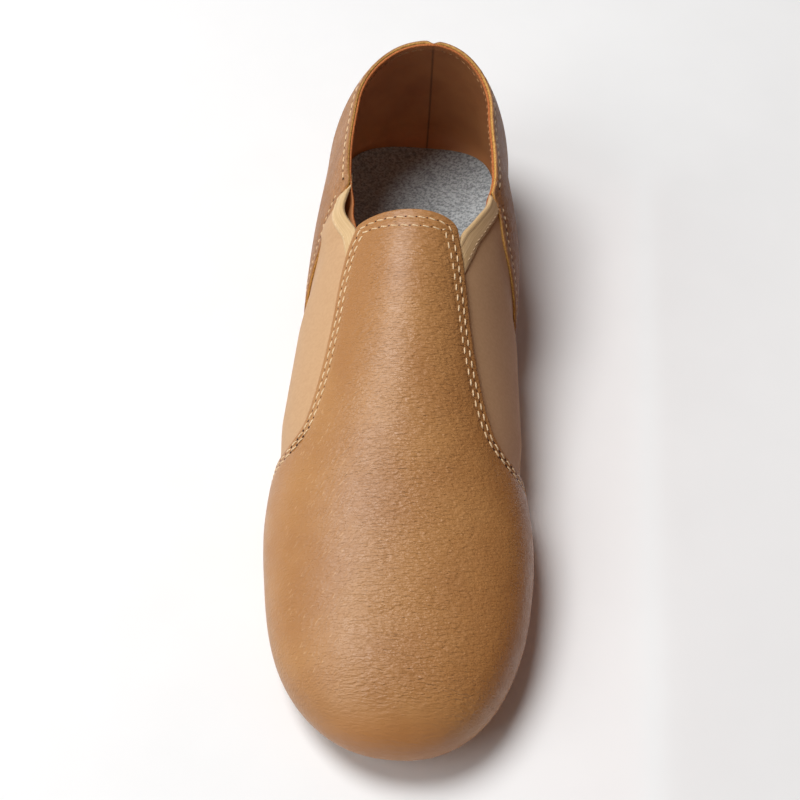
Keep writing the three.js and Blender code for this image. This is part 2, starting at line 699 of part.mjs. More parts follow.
// Forefoot tread: an even pad under ball and toes, with its seat
function forefootSole() {
  const plan = FORE_TREAD;
  const halfAt = (share, side) => {
    const map = share / plan.front;
    const back = ovalEnd(1 - (share - plan.back) / plan.backRound, TOE_ROUND);
    return plan.wide * planHalf(map, side) * back;
  };
  const top = (x, y) => underBottom(x, y, WRAP);
  const underside = (x, y, share) => Math.max(rise(share) - CLEARANCE, 0);
  const pad = solid(slab(rounded(plan.back, plan.front, 20), halfAt, top, underside, 5));
  const whole = pad.add(solid(seat(FORE_OPEN, TOE_CLOSED)));
  return geometryOf(whole.subtract(ribs(FORE_RIBS, BALL_WIDTH)));
}

// Heel tread: a low block under the heel, with its seat
function heelSole() {
  const plan = HEEL_TREAD;
  const halfAt = (share, side) => {
    const map = share < FAN ? FAN * ((share - plan.back) / (FAN - plan.back)) : share;
    const front = ovalEnd(1 - (plan.front - share) / plan.frontRound, TOE_ROUND);
    return plan.wide * planHalf(map, side) * front;
  };
  const top = (x, y) => underBottom(x, y, WRAP);
  const pad = solid(slab(rounded(plan.back, plan.front, 16), halfAt, top, () => 0, 4));
  const whole = pad.add(solid(seat(0, HEEL_OPEN)));
  return geometryOf(whole.subtract(ribs(HEEL_RIBS, BALL_WIDTH)));
}

function piece(name, geometry, finish) {
  const look = FINISHES[finish];
  const material = new THREE.MeshStandardMaterial({ color: look.color, roughness: look.roughness, metalness: 0 });
  const mesh = new THREE.Mesh(geometry, material);
  mesh.name = name;
  return mesh;
}

const shoe = new THREE.Group();
shoe.add(piece('upper', upper(), 'gore'));
shoe.add(piece('vamp', vamp(), 'vamp'));
shoe.add(piece('quarter_lateral', quarter('lateral'), 'quarter'));
shoe.add(piece('quarter_medial', quarter('medial'), 'quarter'));
shoe.add(piece('binding_lateral', binding('lateral'), 'binding'));
shoe.add(piece('binding_medial', binding('medial'), 'binding'));
shoe.add(piece('insole', insole(), 'insole'));
shoe.add(piece('outsole_forefoot', forefootSole(), 'sole'));
shoe.add(piece('outsole_heel', heelSole(), 'sole'));

export default shoe;
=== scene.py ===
"""Looks of the jazz shoe: leather, elastic, lining, felt, stitching and treads.

Shapes are worked out in millimetres on the same last as the solids, and go
into the meshes in metres. A place on the last has two numbers: its share of
the length, from the heel, and its turn round the section in degrees, which is
-90 under the foot, 0 at the outer side, 90 on the ridge, 180 at the inner side
and 270 under the foot again.
"""

import bpy
import numpy as np
from mathutils import Matrix, Vector


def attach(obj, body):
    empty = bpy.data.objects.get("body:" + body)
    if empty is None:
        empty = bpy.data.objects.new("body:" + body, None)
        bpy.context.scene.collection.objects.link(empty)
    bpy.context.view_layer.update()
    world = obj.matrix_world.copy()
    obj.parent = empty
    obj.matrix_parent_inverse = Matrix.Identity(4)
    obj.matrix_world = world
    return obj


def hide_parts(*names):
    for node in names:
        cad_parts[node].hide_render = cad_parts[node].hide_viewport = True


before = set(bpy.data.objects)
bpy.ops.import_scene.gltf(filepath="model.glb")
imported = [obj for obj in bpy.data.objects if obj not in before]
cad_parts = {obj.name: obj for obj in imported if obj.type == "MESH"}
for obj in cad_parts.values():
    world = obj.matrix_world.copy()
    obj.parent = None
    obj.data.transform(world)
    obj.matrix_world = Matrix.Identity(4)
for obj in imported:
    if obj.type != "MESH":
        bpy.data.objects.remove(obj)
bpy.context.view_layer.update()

MM = 0.001
KEEL, RIDGE, UNDER = -90.0, 90.0, 270.0
SIDES = {"lateral": -1, "medial": 1}

# Steps for slopes on the last, as a share and in degrees, the degrees from
# the ridge past which a place lies right under the foot, and a length or
# share too small to matter
SHARE_STEP, TURN_STEP, RIGHT_UNDER, TINY = 0.001, 0.2, 179.99, 1e-9

# Sizes of the last and of the layers over it, as in the solids
LENGTH, BALL_WIDTH, INSTEP = 243.0, 79.6, 59.0
HEEL_BACK, TIP_HEIGHT = 33.0, 14.0
BACK_DEPTH, SIDE_DEPTH = 61.6, 50.6
HEEL_PAD, FOREFOOT_PAD, ARCH_RISE, TOE_SPRING = 8.0, 3.0, 4.0, 5.0
WRAP = 3.0
FAN = 0.14
TOE_START, TOE_SIDE_START = 0.8, 0.9
HEEL_ROUND, TOE_ROUND, TOE_SIDE_ROUND = 2.12, 2.25, 2.2
MARGIN = -58.0
TREAD_STEP, CLEARANCE = 0.8, 0.3

# Offsets of the visible layers from the last
LINING_OUT = 0.7
ELASTIC_IN, ELASTIC_OUT = 0.75, 1.2
LEATHER_OUT, LEATHER = 2.7, 1.1
EDGE_PRESS, PRESS_REACH = 0.3, 7.0
EDGE_ROUND = 0.45
CHANNEL, CHANNEL_WIDTH = 0.14, 0.6

# Sections of the last at shares of LENGTH from the heel. The half widths and
# the ridge's place are shares of BALL_WIDTH, the ridge's height is a share of
# INSTEP and the belly's one of the section's height. heel, arch and spring are
# shares of how far those lift the bottom, and full and square bow the curves.
SECTIONS = {
    "at": [0.14, 0.27, 0.4, 0.52, 0.63, 0.72, 0.82, 0.91, 1],
    "lateral": [0.394, 0.418, 0.422, 0.452, 0.479, 0.497, 0.468, 0.446, 0.428],
    "medial": [0.345, 0.4, 0.416, 0.432, 0.463, 0.497, 0.479, 0.453, 0.438],
    "ridge_x": [-0.012, -0.008, -0.013, -0.001, 0.007, 0.016, 0.028, 0.038, 0.055],
    "ridge": [1.23, 1.075, 0.925, 0.806, 0.705, 0.598, 0.485, 0.364, 0.262],
    "belly": [0.168, 0.2, 0.19, 0.188, 0.205, 0.219, 0.215, 0.2, 0.191],
    "heel": [1, 1, 0.8, 0.4, 0.08, 0, 0, 0, 0],
    "arch": [0, 0.18, 0.62, 0.42, 0.06, 0, 0, 0, 0],
    "spring": [0, 0, 0, 0, 0, 0, 0.06, 0.42, 1],
    "full": [-0.06, -0.01, -0.095, -0.1, -0.042, 0.018, 0.049, 0.08, 0.08],
    "square": [3.5, 2.9, 2.95, 3.2, 3.5, 3.8, 3.6, 3.3, 3.1],
}

# The collar's height: back is a share of the step from SIDE_DEPTH up to
# BACK_DEPTH, and lateral and medial are shares of SIDE_DEPTH.
TOPLINE = {
    "at": [0, 0.05, 0.1, 0.15, 0.22, 0.28, 0.3, 0.33, 0.365],
    "back": [1, 0.83, 0.41, 0.11, 0, 0, 0, 0, 0],
    "lateral": [1, 1, 1, 1, 1, 0.99, 0.966, 0.94, 0.97],
    "medial": [1, 1, 1, 1, 1, 0.985, 0.985, 1.012, 1.04],
}

# The vamp's cut edge, a row for each place from the tab to the toe: share and
# angle at the outer and the inner edge, and the share on the ridge between.
VAMP = {
    "row": list(range(15)),
    "lat_at": [
        *(0.366, 0.392, 0.43, 0.48, 0.525, 0.572, 0.608, 0.628),
        *(0.638, 0.644, 0.65, 0.7, 0.758, 0.82, 0.88),
    ],
    "lat_angle": [56, 51, 47.5, 45.5, 43.5, 40.5, 36, 26, 6, -24, -58, -58, -58, -58, -58],
    "med_at": [
        *(0.377, 0.404, 0.448, 0.496, 0.542, 0.582, 0.611, 0.63),
        *(0.638, 0.644, 0.65, 0.7, 0.758, 0.82, 0.88),
    ],
    "med_angle": [67, 63, 59, 56, 52, 47.5, 42.5, 30, 9, -24, -58, -58, -58, -58, -58],
    "ridge_at": [
        *(0.357, 0.4, 0.445, 0.49, 0.535, 0.58, 0.62, 0.655),
        *(0.69, 0.72, 0.748, 0.778, 0.81, 0.845, 0.888),
    ],
}
TAB_CORNER = 2.9

# Front edges of the quarters: shares at ways down from collar to margin
QUARTER = {
    "down": [0, 0.08, 0.2, 0.34, 0.5, 0.7, 1],
    "lateral": [0.287, 0.304, 0.338, 0.363, 0.394, 0.425, 0.445],
    "medial": [0.284, 0.303, 0.334, 0.358, 0.388, 0.424, 0.445],
}


# Numbers and curves


def mix(a, b, share):
    """a at share 0 and b at share 1, in a straight line between."""
    return a + (b - a) * share


def ease(value, start=0.0, end=1.0):
    """0 before start and 1 after end, with a smooth cubic step between them."""
    t = np.clip((value - start) / (end - start), 0, 1)
    return t * t * (3 - 2 * t)


def bell(value, centre, width):
    """A bump of height 1 at centre that falls off as a Gaussian."""
    return np.exp(-(((value - centre) / width) ** 2))


def curve(table, name, key="at", smooth=False):
    """A cubic through one column of a table. The smooth one starts level and
    keeps its bend even; the other never swings past the values it joins."""
    at, values = np.array(table[key], float), np.array(table[name], float)
    step = np.diff(at)
    rise = np.diff(values) / step
    if smooth:
        size = len(at)
        matrix, wanted = np.eye(size), np.zeros(size)
        for i in range(1, size - 1):
            matrix[i, i - 1 : i + 2] = step[i], 2 * (step[i - 1] + step[i]), step[i - 1]
            wanted[i] = 3 * (step[i] * rise[i - 1] + step[i - 1] * rise[i])
        matrix[-1, -2:] = 1, 2
        wanted[-1] = 3 * rise[-1]
        slope = np.linalg.solve(matrix, wanted)
    else:
        before, after = 2 * step[1:] + step[:-1], step[1:] + 2 * step[:-1]
        same = rise[:-1] * rise[1:] > 0
        first = np.where(same, rise[:-1], 1)
        second = np.where(same, rise[1:], 1)
        mean = (before + after) / (before / first + after / second)
        slope = np.concatenate([rise[:1], np.where(same, mean, 0), rise[-1:]])

    def value(place):
        x = np.clip(np.asarray(place, float), at[0], at[-1])
        i = np.clip(np.searchsorted(at, x, side="left") - 1, 0, len(step) - 1)
        u = (x - at[i]) / step[i]
        v = 1 - u
        ends = values[i] * (1 + 2 * u) * v * v + values[i + 1] * (1 + 2 * v) * u * u
        return ends + step[i] * u * v * (slope[i] * v - slope[i + 1] * u)

    return value


LAST = {name: curve(SECTIONS, name, smooth=True) for name in SECTIONS if name != "at"}
TOP = {name: curve(TOPLINE, name) for name in TOPLINE if name != "at"}
EDGE = {name: curve(VAMP, name, "row") for name in VAMP if name != "row"}
FRONT = {name: curve(QUARTER, name, "down") for name in QUARTER if name != "down"}


def oval_end(value, power):
    """Quarter of a superellipse: 1 at 0, falling to 0 at 1."""
    return (1 - np.clip(value, 0, 1) ** power) ** (1 / power)


def lift(share):
    """Height of a thin tread's underside over the floor: heel, arch and toe."""
    drop = (HEEL_PAD - FOREFOOT_PAD) * LAST["heel"](share)
    high = drop + ARCH_RISE * LAST["arch"](share) + TOE_SPRING * LAST["spring"](share)
    return np.maximum(high, 0)


def section(share):
    """One cross-section of the last: its place, half widths and heights."""
    at = np.maximum(share, FAN)
    plan_end = oval_end((at - TOE_START) / (1 - TOE_START), TOE_ROUND)
    side_end = oval_end((at - TOE_SIDE_START) / (1 - TOE_SIDE_START), TOE_SIDE_ROUND)
    bottom = WRAP + FOREFOOT_PAD + lift(at)
    ridge = bottom + INSTEP * LAST["ridge"](at)
    belly = mix(bottom, ridge, LAST["belly"](at))
    return {
        "y": HEEL_BACK - at * LENGTH,
        "ridge_x": BALL_WIDTH * LAST["ridge_x"](at),
        "lateral": BALL_WIDTH * LAST["lateral"](at) * plan_end,
        "medial": BALL_WIDTH * LAST["medial"](at) * plan_end,
        "bottom": mix(TIP_HEIGHT, bottom, side_end),
        "belly": mix(TIP_HEIGHT, belly, side_end),
        "ridge": mix(TIP_HEIGHT, ridge, side_end),
        "full": LAST["full"](at),
        "square": LAST["square"](at),
    }


def profile(s, angle):
    """Reach and height at an angle round a section: a sine arch over the belly
    that full bows out, and a squared curve under it."""
    turn = np.radians(angle)
    up, out = np.sin(turn), np.maximum(np.cos(turn), 0)
    over_reach = out * (1 + s["full"] * up * up)
    over_z = mix(s["belly"], s["ridge"], up * (1 + s["full"] * out * out))
    power = 2 / s["square"]
    under_reach = out**power
    under_z = mix(s["belly"], s["bottom"], np.maximum(-up, 0) ** power)
    over = angle >= 0
    return np.where(over, over_reach, under_reach), np.where(over, over_z, under_z)


def last_point(share, turn):
    """Point of the last. Behind FAN the heel's section turns round its axis."""
    share, turn = np.broadcast_arrays(np.asarray(share, float), np.asarray(turn, float))
    inner = turn > RIDGE
    angle = np.where(inner, 180 - turn, turn)
    s = section(share)
    reach, z = profile(s, angle)
    swing = np.radians(90 * np.clip(1 - share / FAN, 0, 1))
    power = 2 / HEEL_ROUND
    half = np.where(inner, s["medial"], -s["lateral"])
    across = half * reach * np.maximum(np.cos(swing), 0) ** power
    behind = FAN * LENGTH * reach * np.sin(swing) ** power
    return np.stack([s["ridge_x"] + across, s["y"] + behind, z], -1)


def last_normal(share, turn):
    """Outward normal of the last: the cross product of its two tangents. It is
    given at the tip and under the heel, where a tangent vanishes."""
    share, turn = np.broadcast_arrays(np.asarray(share, float), np.asarray(turn, float))
    step = np.minimum(SHARE_STEP, (1 - share) / 4)
    along = last_point(share + step, turn) - last_point(np.maximum(share - step, 0), turn)
    over = last_point(share, np.minimum(turn + TURN_STEP, UNDER))
    around = over - last_point(share, np.maximum(turn - TURN_STEP, KEEL))
    normal = np.cross(along, around)
    below = (np.abs(turn - RIDGE) > RIGHT_UNDER) & (share < FAN)
    normal[below] = (0, 0, -1)
    normal[share >= 1] = (0, -1, 0)
    normal[..., 0] = np.where(share <= 0, 0, normal[..., 0])
    return normal / np.maximum(np.linalg.norm(normal, axis=-1, keepdims=True), TINY)


def layer(share, turn, offset):
    """Points at an offset outwards from the last."""
    return last_point(share, turn) + last_normal(share, turn) * np.asarray(offset)[..., None]


HALVINGS = 30


def angle_at(share, z):
    """Angle of the upper half where a section reaches a height, by halving."""
    s = section(share)
    low = np.zeros(np.broadcast(share, z).shape)
    high = low + RIDGE
    for _ in range(HALVINGS):
        middle = (low + high) / 2
        under = profile(s, middle)[1] < z
        low, high = np.where(under, middle, low), np.where(under, high, middle)
    return low


def topline_height(share, side):
    """Height of the collar over the floor."""
    over = SIDE_DEPTH * TOP[side](share) + (BACK_DEPTH - SIDE_DEPTH) * TOP["back"](share)
    return WRAP + HEEL_PAD + over


def topline_angle(share, side, below=0.0):
    """Angle of the section at a height below the collar's."""
    share = np.asarray(share, float)
    return angle_at(share, topline_height(share, side) - below)


def to_turn(angle, side):
    """Turn on one side of the shoe of an angle of the half section."""
    return angle if side == "lateral" else 180 - angle


# Meshes


def grid_quads(rows, cols):
    """Faces of a grid whose rows run heel to toe and columns outer to inner."""
    i, j = np.meshgrid(np.arange(rows - 1), np.arange(cols - 1), indexing="ij")
    a = (i * cols + j).ravel()
    return np.stack([a, a + cols, a + cols + 1, a + 1], 1)


def clean_faces(quads):
    """Drops corners that repeat, so that a quad at a pole is a triangle."""
    same = quads == np.roll(quads, -1, axis=1)
    whole = ~same.any(axis=1)
    faces = quads[whole].tolist()
    for face, drop in zip(quads[~whole], same[~whole]):
        kept = face[~drop]
        if len(set(kept.tolist())) > 2:
            faces.append(kept.tolist())
    return faces


# Cells to a millimetre in which points count as one
WELD_CELLS = 500


def weld(points):
    """One number for all points in a cell of two micrometres: the first point
    of each number, and each point's number."""
    keys = np.round(points.reshape(-1, 3) * WELD_CELLS).astype(np.int64)
    _, first, ids = np.unique(keys, axis=0, return_index=True, return_inverse=True)
    return first, ids.ravel()


def shell(outer, inner):
    """A closed wall: the outer grid, the inner one turned round, and a rim
    along every edge that only one face of the welded outer grid uses."""
    first, ids = weld(outer)
    count = len(first)
    quads = ids[grid_quads(*outer.shape[:2])]
    starts, ends = quads.ravel(), np.roll(quads, -1, axis=1).ravel()
    real = starts != ends
    starts, ends = starts[real], ends[real]
    lone = ~np.isin(starts * count + ends, ends * count + starts)
    starts, ends = starts[lone], ends[lone]
    rims = np.stack([ends, starts, starts + count, ends + count], 1)
    points = np.concatenate([outer.reshape(-1, 3)[first], inner.reshape(-1, 3)[first]])
    skins = clean_faces(quads) + clean_faces(quads[:, ::-1] + count)
    return points, skins, clean_faces(rims)


def put(name, points, faces, finishes, second=(), replaces=(), uv=None):
    """Makes one piece. second holds the faces that take the second finish."""
    mesh = bpy.data.meshes.new(name)
    mesh.from_pydata((points * MM).tolist(), [], [*faces, *second])
    for finish in finishes:
        mesh.materials.append(finish)
    numbers = np.zeros(len(faces) + len(second), np.int32)
    numbers[len(faces) :] = 1 if len(finishes) > 1 else 0
    mesh.polygons.foreach_set("material_index", numbers)
    mesh.polygons.foreach_set("use_smooth", np.ones(len(numbers), bool))
    if uv is not None:
        corners = np.zeros(len(mesh.loops), np.int32)
        mesh.loops.foreach_get("vertex_index", corners)
        path = mesh.uv_layers.new(name="path")
        path.data.foreach_set("uv", uv[corners].astype(np.float32).ravel())
    mesh.validate()
    mesh.update()
    piece = bpy.data.objects.new(name, mesh)
    bpy.context.scene.collection.objects.link(piece)
    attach(piece, "root")
    if replaces:
        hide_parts(*replaces)


def distance_to(points, path):
    """Distance from each point to a line of straight pieces in space."""
    flat = points.reshape(-1, 3)
    start, run = path[:-1], np.diff(path, axis=0)
    length = np.maximum((run * run).sum(1), TINY)
    best = np.full(len(flat), np.inf)
    for a, r, size in zip(start, run, length):
        t = np.clip(((flat - a) @ r) / size, 0, 1)
        best = np.minimum(best, np.linalg.norm(flat - a - t[:, None] * r, axis=1))
    return best.reshape(points.shape[:-1])


def rounded_edge(distance, radius):
    """How far a surface has dropped near its edge, as a quarter of a circle."""
    t = np.clip(1 - distance / radius, 0, 1)
    return radius * (1 - np.sqrt(1 - t * t))


def leather_offset(distance, rows):
    """Offset of a leather part's outer face: LEATHER_OUT, less a press that eases
    in near its cut edge and a Gaussian channel along each row of stitches."""
    press = EDGE_PRESS * (1 - ease(distance, 0, PRESS_REACH))
    channels = sum(CHANNEL * bell(distance, row, CHANNEL_WIDTH) for row in rows)
    return LEATHER_OUT - press - channels


def inset(share, turn, distance):
    """Moves a path sideways by a real distance, square to itself in the
    surface: (q, -p), where (p, q) is the path's direction times the metric.
    A positive distance lies to the toe of a path that runs outer to inner."""
    far, wide = 1e-4, 0.05
    along = (last_point(share + far, turn) - last_point(share - far, turn)) / (2 * far)
    around = (last_point(share, turn + wide) - last_point(share, turn - wide)) / (2 * wide)
    ds, dt = np.gradient(share), np.gradient(turn)
    ss, st, tt = (along**2).sum(-1), (along * around).sum(-1), (around**2).sum(-1)
    p, q = ss * ds + st * dt, st * ds + tt * dt
    size = np.sqrt(np.maximum(ss * q * q - 2 * st * q * p + tt * p * p, TINY**2))
    return share + distance * q / size, turn - distance * p / size


def run_length(points):
    """Length along a line of points up to each of them."""
    steps = np.linalg.norm(np.diff(points, axis=0), axis=1)
    return np.concatenate([[0], np.cumsum(steps)])


def unit(vectors):
    """Vectors of length 1 in the same directions."""
    return vectors / np.linalg.norm(vectors, axis=1, keepdims=True)


def spokes(side, up, count):
    """Unit vectors round a circle in the plane of each side and up."""
    ring = np.radians(360 / count * np.arange(count))
    return side[:, None] * np.cos(ring)[:, None] + up[:, None] * np.sin(ring)[:, None]


def sewn_row(share, turn, offset, pitch, dash, slant, inside=False):
    """Ends, normals and needle holes of a row of stitches along a path. Every
    stitch is a dash of the pitch, turned a little across the row."""
    offset = np.zeros(len(share)) + offset
    length = run_length(layer(share, turn, offset))
    count = int((length[-1] - pitch / 2) // pitch)
    start = pitch * (np.arange(count) + (length[-1] / pitch - count) / 2)
    found = []
    for at in (start, start + dash * pitch, start - (1 - dash) * pitch / 2):
        s, t, o = (np.interp(at, length, value) for value in (share, turn, offset))
        found.append((layer(s, t, o), last_normal(s, t)))
    (a, a_normal), (b, b_normal), (hole, hole_normal) = found
    sign = -1 if inside else 1
    across = slant * unit(np.cross(b - a, a_normal + b_normal))
    return {
        "start": a - across,
        "end": b + across,
        "normal": sign * (a_normal + b_normal) / 2,
        "hole": hole,
        "hole_normal": sign * hole_normal,
    }


def gather(rows, *names):
    """The named arrays of all rows, each joined end to end."""
    return [np.concatenate([row[name] for row in rows]) for name in names]


THREAD_SIDES, THREAD_RINGS = 6, 7
TAPER, SINK = 0.93, 0.55


def thread(rows, radius, rise):
    """Stitches as bowed bars of rings. With u from -1 to 1 along a stitch, a
    ring's size is the radius times the root of 1 - TAPER u^4, and it rises off
    the leather by rise (1 - u^4), less SINK of the radius."""
    a, b, normal = gather(rows, "start", "end", "normal")
    t = np.linspace(0, 1, THREAD_RINGS)
    fall = (2 * t - 1) ** 4
    swell = np.sqrt(1 - TAPER * fall) * radius
    centre = a[:, None] + (b - a)[:, None] * t[:, None]
    centre = centre + normal[:, None] * (rise * (1 - fall) - SINK * radius)[:, None]
    ahead = unit(b - a)
    side = unit(np.cross(ahead, normal))
    ring = spokes(side, np.cross(side, ahead), THREAD_SIDES)
    points = centre[:, :, None] + ring[:, None] * swell[:, None, None]
    size = THREAD_SIDES * THREAD_RINGS
    base = size * np.arange(len(a))[:, None]
    k = np.arange(THREAD_SIDES)
    after = (k + 1) % THREAD_SIDES
    near = THREAD_SIDES * np.arange(THREAD_RINGS - 1)[:, None]
    far = near + THREAD_SIDES
    one = np.stack([near + k, far + k, far + after, near + after], -1).reshape(-1, 4)
    quads = (base[:, None] + one).reshape(-1, 4)
    caps = (base + k).tolist() + (base + size - THREAD_SIDES + k[::-1]).tolist()
    return points.reshape(-1, 3), quads.tolist() + caps


LENS_SIDES = 8
LENS_OVER, LENS_UNDER, UPRIGHT = 0.05, 0.2, 0.8


def pricks(rows, radius):
    """Needle holes as lenses painted with dark shade: a flat rim on the
    leather, one point a little over its middle and one under it."""
    hole, normal = gather(rows, "hole", "hole_normal")
    lean = np.where(np.abs(normal[:, 2:]) < UPRIGHT, [[0, 0, 1.0]], [[0, 1.0, 0]])
    side = unit(np.cross(lean, normal))
    rim = spokes(side, np.cross(normal, side), LENS_SIDES) * radius
    middle, out = hole[:, None], normal[:, None]
    points = np.concatenate([middle + out * LENS_OVER, middle - out * LENS_UNDER, middle + rim], 1)
    k = np.arange(LENS_SIDES)
    here, after = 2 + k, 2 + (k + 1) % LENS_SIDES
    one = np.concatenate([np.stack([0 * k, here, after], 1), np.stack([0 * k + 1, after, here], 1)])
    faces = (np.arange(len(hole))[:, None, None] * (LENS_SIDES + 2) + one).reshape(-1, 3)
    return points.reshape(-1, 3), faces.tolist()


# Finishes


def linear(red, green, blue):
    """A colour given in screen values of 0 to 255, as light."""
    c = np.array([red, green, blue]) / 255
    return (*np.where(c <= 0.04045, c / 12.92, ((c + 0.055) / 1.055) ** 2.4), 1.0)


class Finish:
    """Builds one material node by node. Patterns lie in Object coordinates, in
    metres, or on the piece's own path map."""

    def __init__(self, name, roughness, **sockets):
        self.material = bpy.data.materials.new(name)
        self.material.use_nodes = True
        self.tree = self.material.node_tree
        self.shader = self.tree.nodes["Principled BSDF"]
        self.shader.inputs["Roughness"].default_value = roughness
        for socket, value in sockets.items():
            self.shader.inputs[socket.replace("_", " ")].default_value = value
        self.place = self.node("ShaderNodeTexCoord").outputs["Object"]

    def node(self, kind, *inputs, **settings):
        """Adds a node. An input is linked to a socket or set to a value."""
        made = self.tree.nodes.new(kind)
        for key, value in settings.items():
            setattr(made, key, value)
        for key, value in inputs:
            if isinstance(value, bpy.types.NodeSocket):
                self.tree.links.new(value, made.inputs[key])
            else:
                made.inputs[key].default_value = value
        return made

    def noise(
        self, scale=1.0, detail=2.0, rough=0.5, stretch=(1, 1, 1), turn=(0, 0, 0), warp=0.0, place=None
    ):
        """Soft noise whose grains are 1 / (scale * stretch) long each way."""
        turned = place or self.place
        if any(turn):
            turned = self.node("ShaderNodeMapping", ("Vector", turned), ("Rotation", turn)).outputs[0]
        spread = self.node("ShaderNodeMapping", ("Vector", turned), ("Scale", stretch)).outputs[0]
        return self.node(
            "ShaderNodeTexNoise",
            ("Vector", spread),
            ("Scale", scale),
            ("Detail", detail),
            ("Roughness", rough),
            ("Distortion", warp),
        ).outputs["Fac"]

    def cells(self, scale, stretch):
        """Distance to the nearest of many scattered points, as pebbles or pores."""
        spread = self.node("ShaderNodeMapping", ("Vector", self.place), ("Scale", stretch)).outputs[0]
        return self.node("ShaderNodeTexVoronoi", ("Vector", spread), ("Scale", scale)).outputs["Distance"]

    def span(self, value, low, high, start=0.0, end=1.0):
        """Start below low and end above high, with a smooth step between."""
        return self.node(
            "ShaderNodeMapRange",
            ("Value", value),
            ("From Min", low),
            ("From Max", high),
            ("To Min", start),
            ("To Max", end),
            interpolation_type="SMOOTHSTEP",
        ).outputs[0]

    def creases(self, value, width):
        """1 on the winding lines where a noise crosses its middle, 0 off them."""
        away = self.math("ABSOLUTE", self.math("SUBTRACT", value, 0.5))
        return self.span(away, 0.0, width, 1.0, 0.0)

    def math(self, operation, a, b=0.0):
        return self.node("ShaderNodeMath", (0, a), (1, b), operation=operation).outputs[0]

    def times(self, product, *factors):
        for factor in factors:
            product = self.math("MULTIPLY", product, factor)
        return product

    def axis(self, name):
        return self.node("ShaderNodeSeparateXYZ", (0, self.place)).outputs[name]

    def blend(self, share, a, b):
        """Mixes two colours, each a node's output or three screen values."""
        a, b = (linear(*colour) if isinstance(colour, tuple) else colour for colour in (a, b))
        return self.node("ShaderNodeMix", (0, share), (6, a), (7, b), data_type="RGBA").outputs[2]

    def bumps(self, *layers):
        """Patterns raised on top of each other, each with its height in mm."""
        normal = None
        for height, depth in layers:
            inputs = [("Height", height), ("Distance", depth * MM), ("Strength", 1.0)]
            if normal is not None:
                inputs.append(("Normal", normal))
            normal = self.node("ShaderNodeBump", *inputs).outputs[0]
        return normal

    def done(self, colour, normal=None, roughness=None):
        """Links what was made to the shader and gives the material."""
        for socket, value in (("Base Color", colour), ("Normal", normal), ("Roughness", roughness)):
            if value is not None:
                self.tree.links.new(value, self.shader.inputs[socket])
        return self.material


def vamp_finish():
    """Smooth tan leather: fine pores, wavy cross wrinkles down the middle with
    painted shade in them, slanting grain on the outer side of the toe, and a
    burnished toe front.
    Places across and along the shoe are in metres."""
    f = Finish("vamp_leather", 0.46, Coat_Weight=0.28, Coat_Roughness=0.36)
    x, y = f.axis("X"), f.axis("Y")
    centre = f.span(y, -0.2, -0.08, 0.009, 0.001)
    away = f.math("ABSOLUTE", f.math("SUBTRACT", x, centre))
    behind_tip = f.span(y, -0.207, -0.196)
    band = f.times(f.span(away, 0.008, 0.03, 1.0, 0.16), behind_tip)
    patches = f.span(f.noise(85), 0.36, 0.6, 0.35, 1.0)
    wrinkles = f.creases(f.noise(stretch=(190, 900, 400), warp=0.4), 0.1)
    wrinkles = f.times(wrinkles, band, patches)
    ripples = f.noise(detail=1.0, rough=0.4, stretch=(460, 1600, 900), warp=0.4)
    ripples = f.times(ripples, f.math("ADD", f.times(band, 0.7), 0.3))
    pores = f.times(f.cells(1500, (1, 1.25, 1)), f.span(y, -0.21, -0.19, 0.25, 1.0))
    outer = f.times(f.span(x, -0.037, -0.03), f.span(x, -0.016, -0.004, 1.0, 0.0))
    outer = f.times(outer, f.span(y, -0.12, -0.09, 1.0, 0.0), behind_tip)
    slant = f.noise(stretch=(1500, 330, 700), turn=(0, 0, 0.62))
    flecks = f.times(f.span(slant, 0.62, 0.72), outer)
    waves, creased, slanted = f.noise(70), f.times(wrinkles, -1.0), f.times(slant, outer)
    normal = f.bumps((waves, 0.5), (creased, 0.05), (ripples, 0.55), (slanted, 0.3), (pores, 0.07))
    cloud = f.span(f.noise(38, 3.0, 0.55), 0.35, 0.68)
    colour = f.blend(cloud, (170, 117, 65), (179, 127, 73))
    # The wrinkles are painted a little darker: painted shade in the creases
    colour = f.blend(f.times(wrinkles, 0.04), colour, (140, 92, 52))
    colour = f.blend(f.span(y, -0.212, -0.202, 0.6, 0.0), colour, (176, 114, 60))
    colour = f.blend(f.times(flecks, 0.4), colour, (214, 168, 122))
    rough = f.span(f.noise(240, 3.0, 0.6), 0.3, 0.7, 0.42, 0.54)
    return f.done(colour, normal, rough)


def quarter_finish():
    """The same leather, more pebbled, with short creases round the heel that hold painted shade."""
    f = Finish("quarter_leather", 0.5, Coat_Weight=0.05, Coat_Roughness=0.35, Specular_IOR_Level=0.4)
    pebbles = f.cells(820, (1, 1, 0.8))
    folds = f.creases(f.noise(1.0, 3.0, 0.55, stretch=(330, 330, 640), warp=0.8), 0.13)
    normal = f.bumps((f.noise(90), 0.6), (f.times(folds, -1.0), 0.16), (pebbles, 0.4))
    cloud = f.span(f.noise(60, 3.0, 0.55), 0.35, 0.68)
    colour = f.blend(cloud, (164, 112, 66), (176, 124, 78))
    # The folds are painted darker: painted shade in the creases
    colour = f.blend(f.times(folds, 0.25), colour, (132, 86, 52))
    rough = f.span(f.noise(300, 3.0, 0.6), 0.3, 0.7, 0.44, 0.58)
    return f.done(colour, normal, rough)


def cut_edge_finish(name, dark, light):
    """The cut edge of leather: mixed dark and light fibres."""
    f = Finish(name, 0.8)
    fibres = f.noise(1700, 3.0, 0.6)
    return f.done(f.blend(f.span(fibres, 0.3, 0.7), dark, light), f.bumps((fibres, 0.2)))


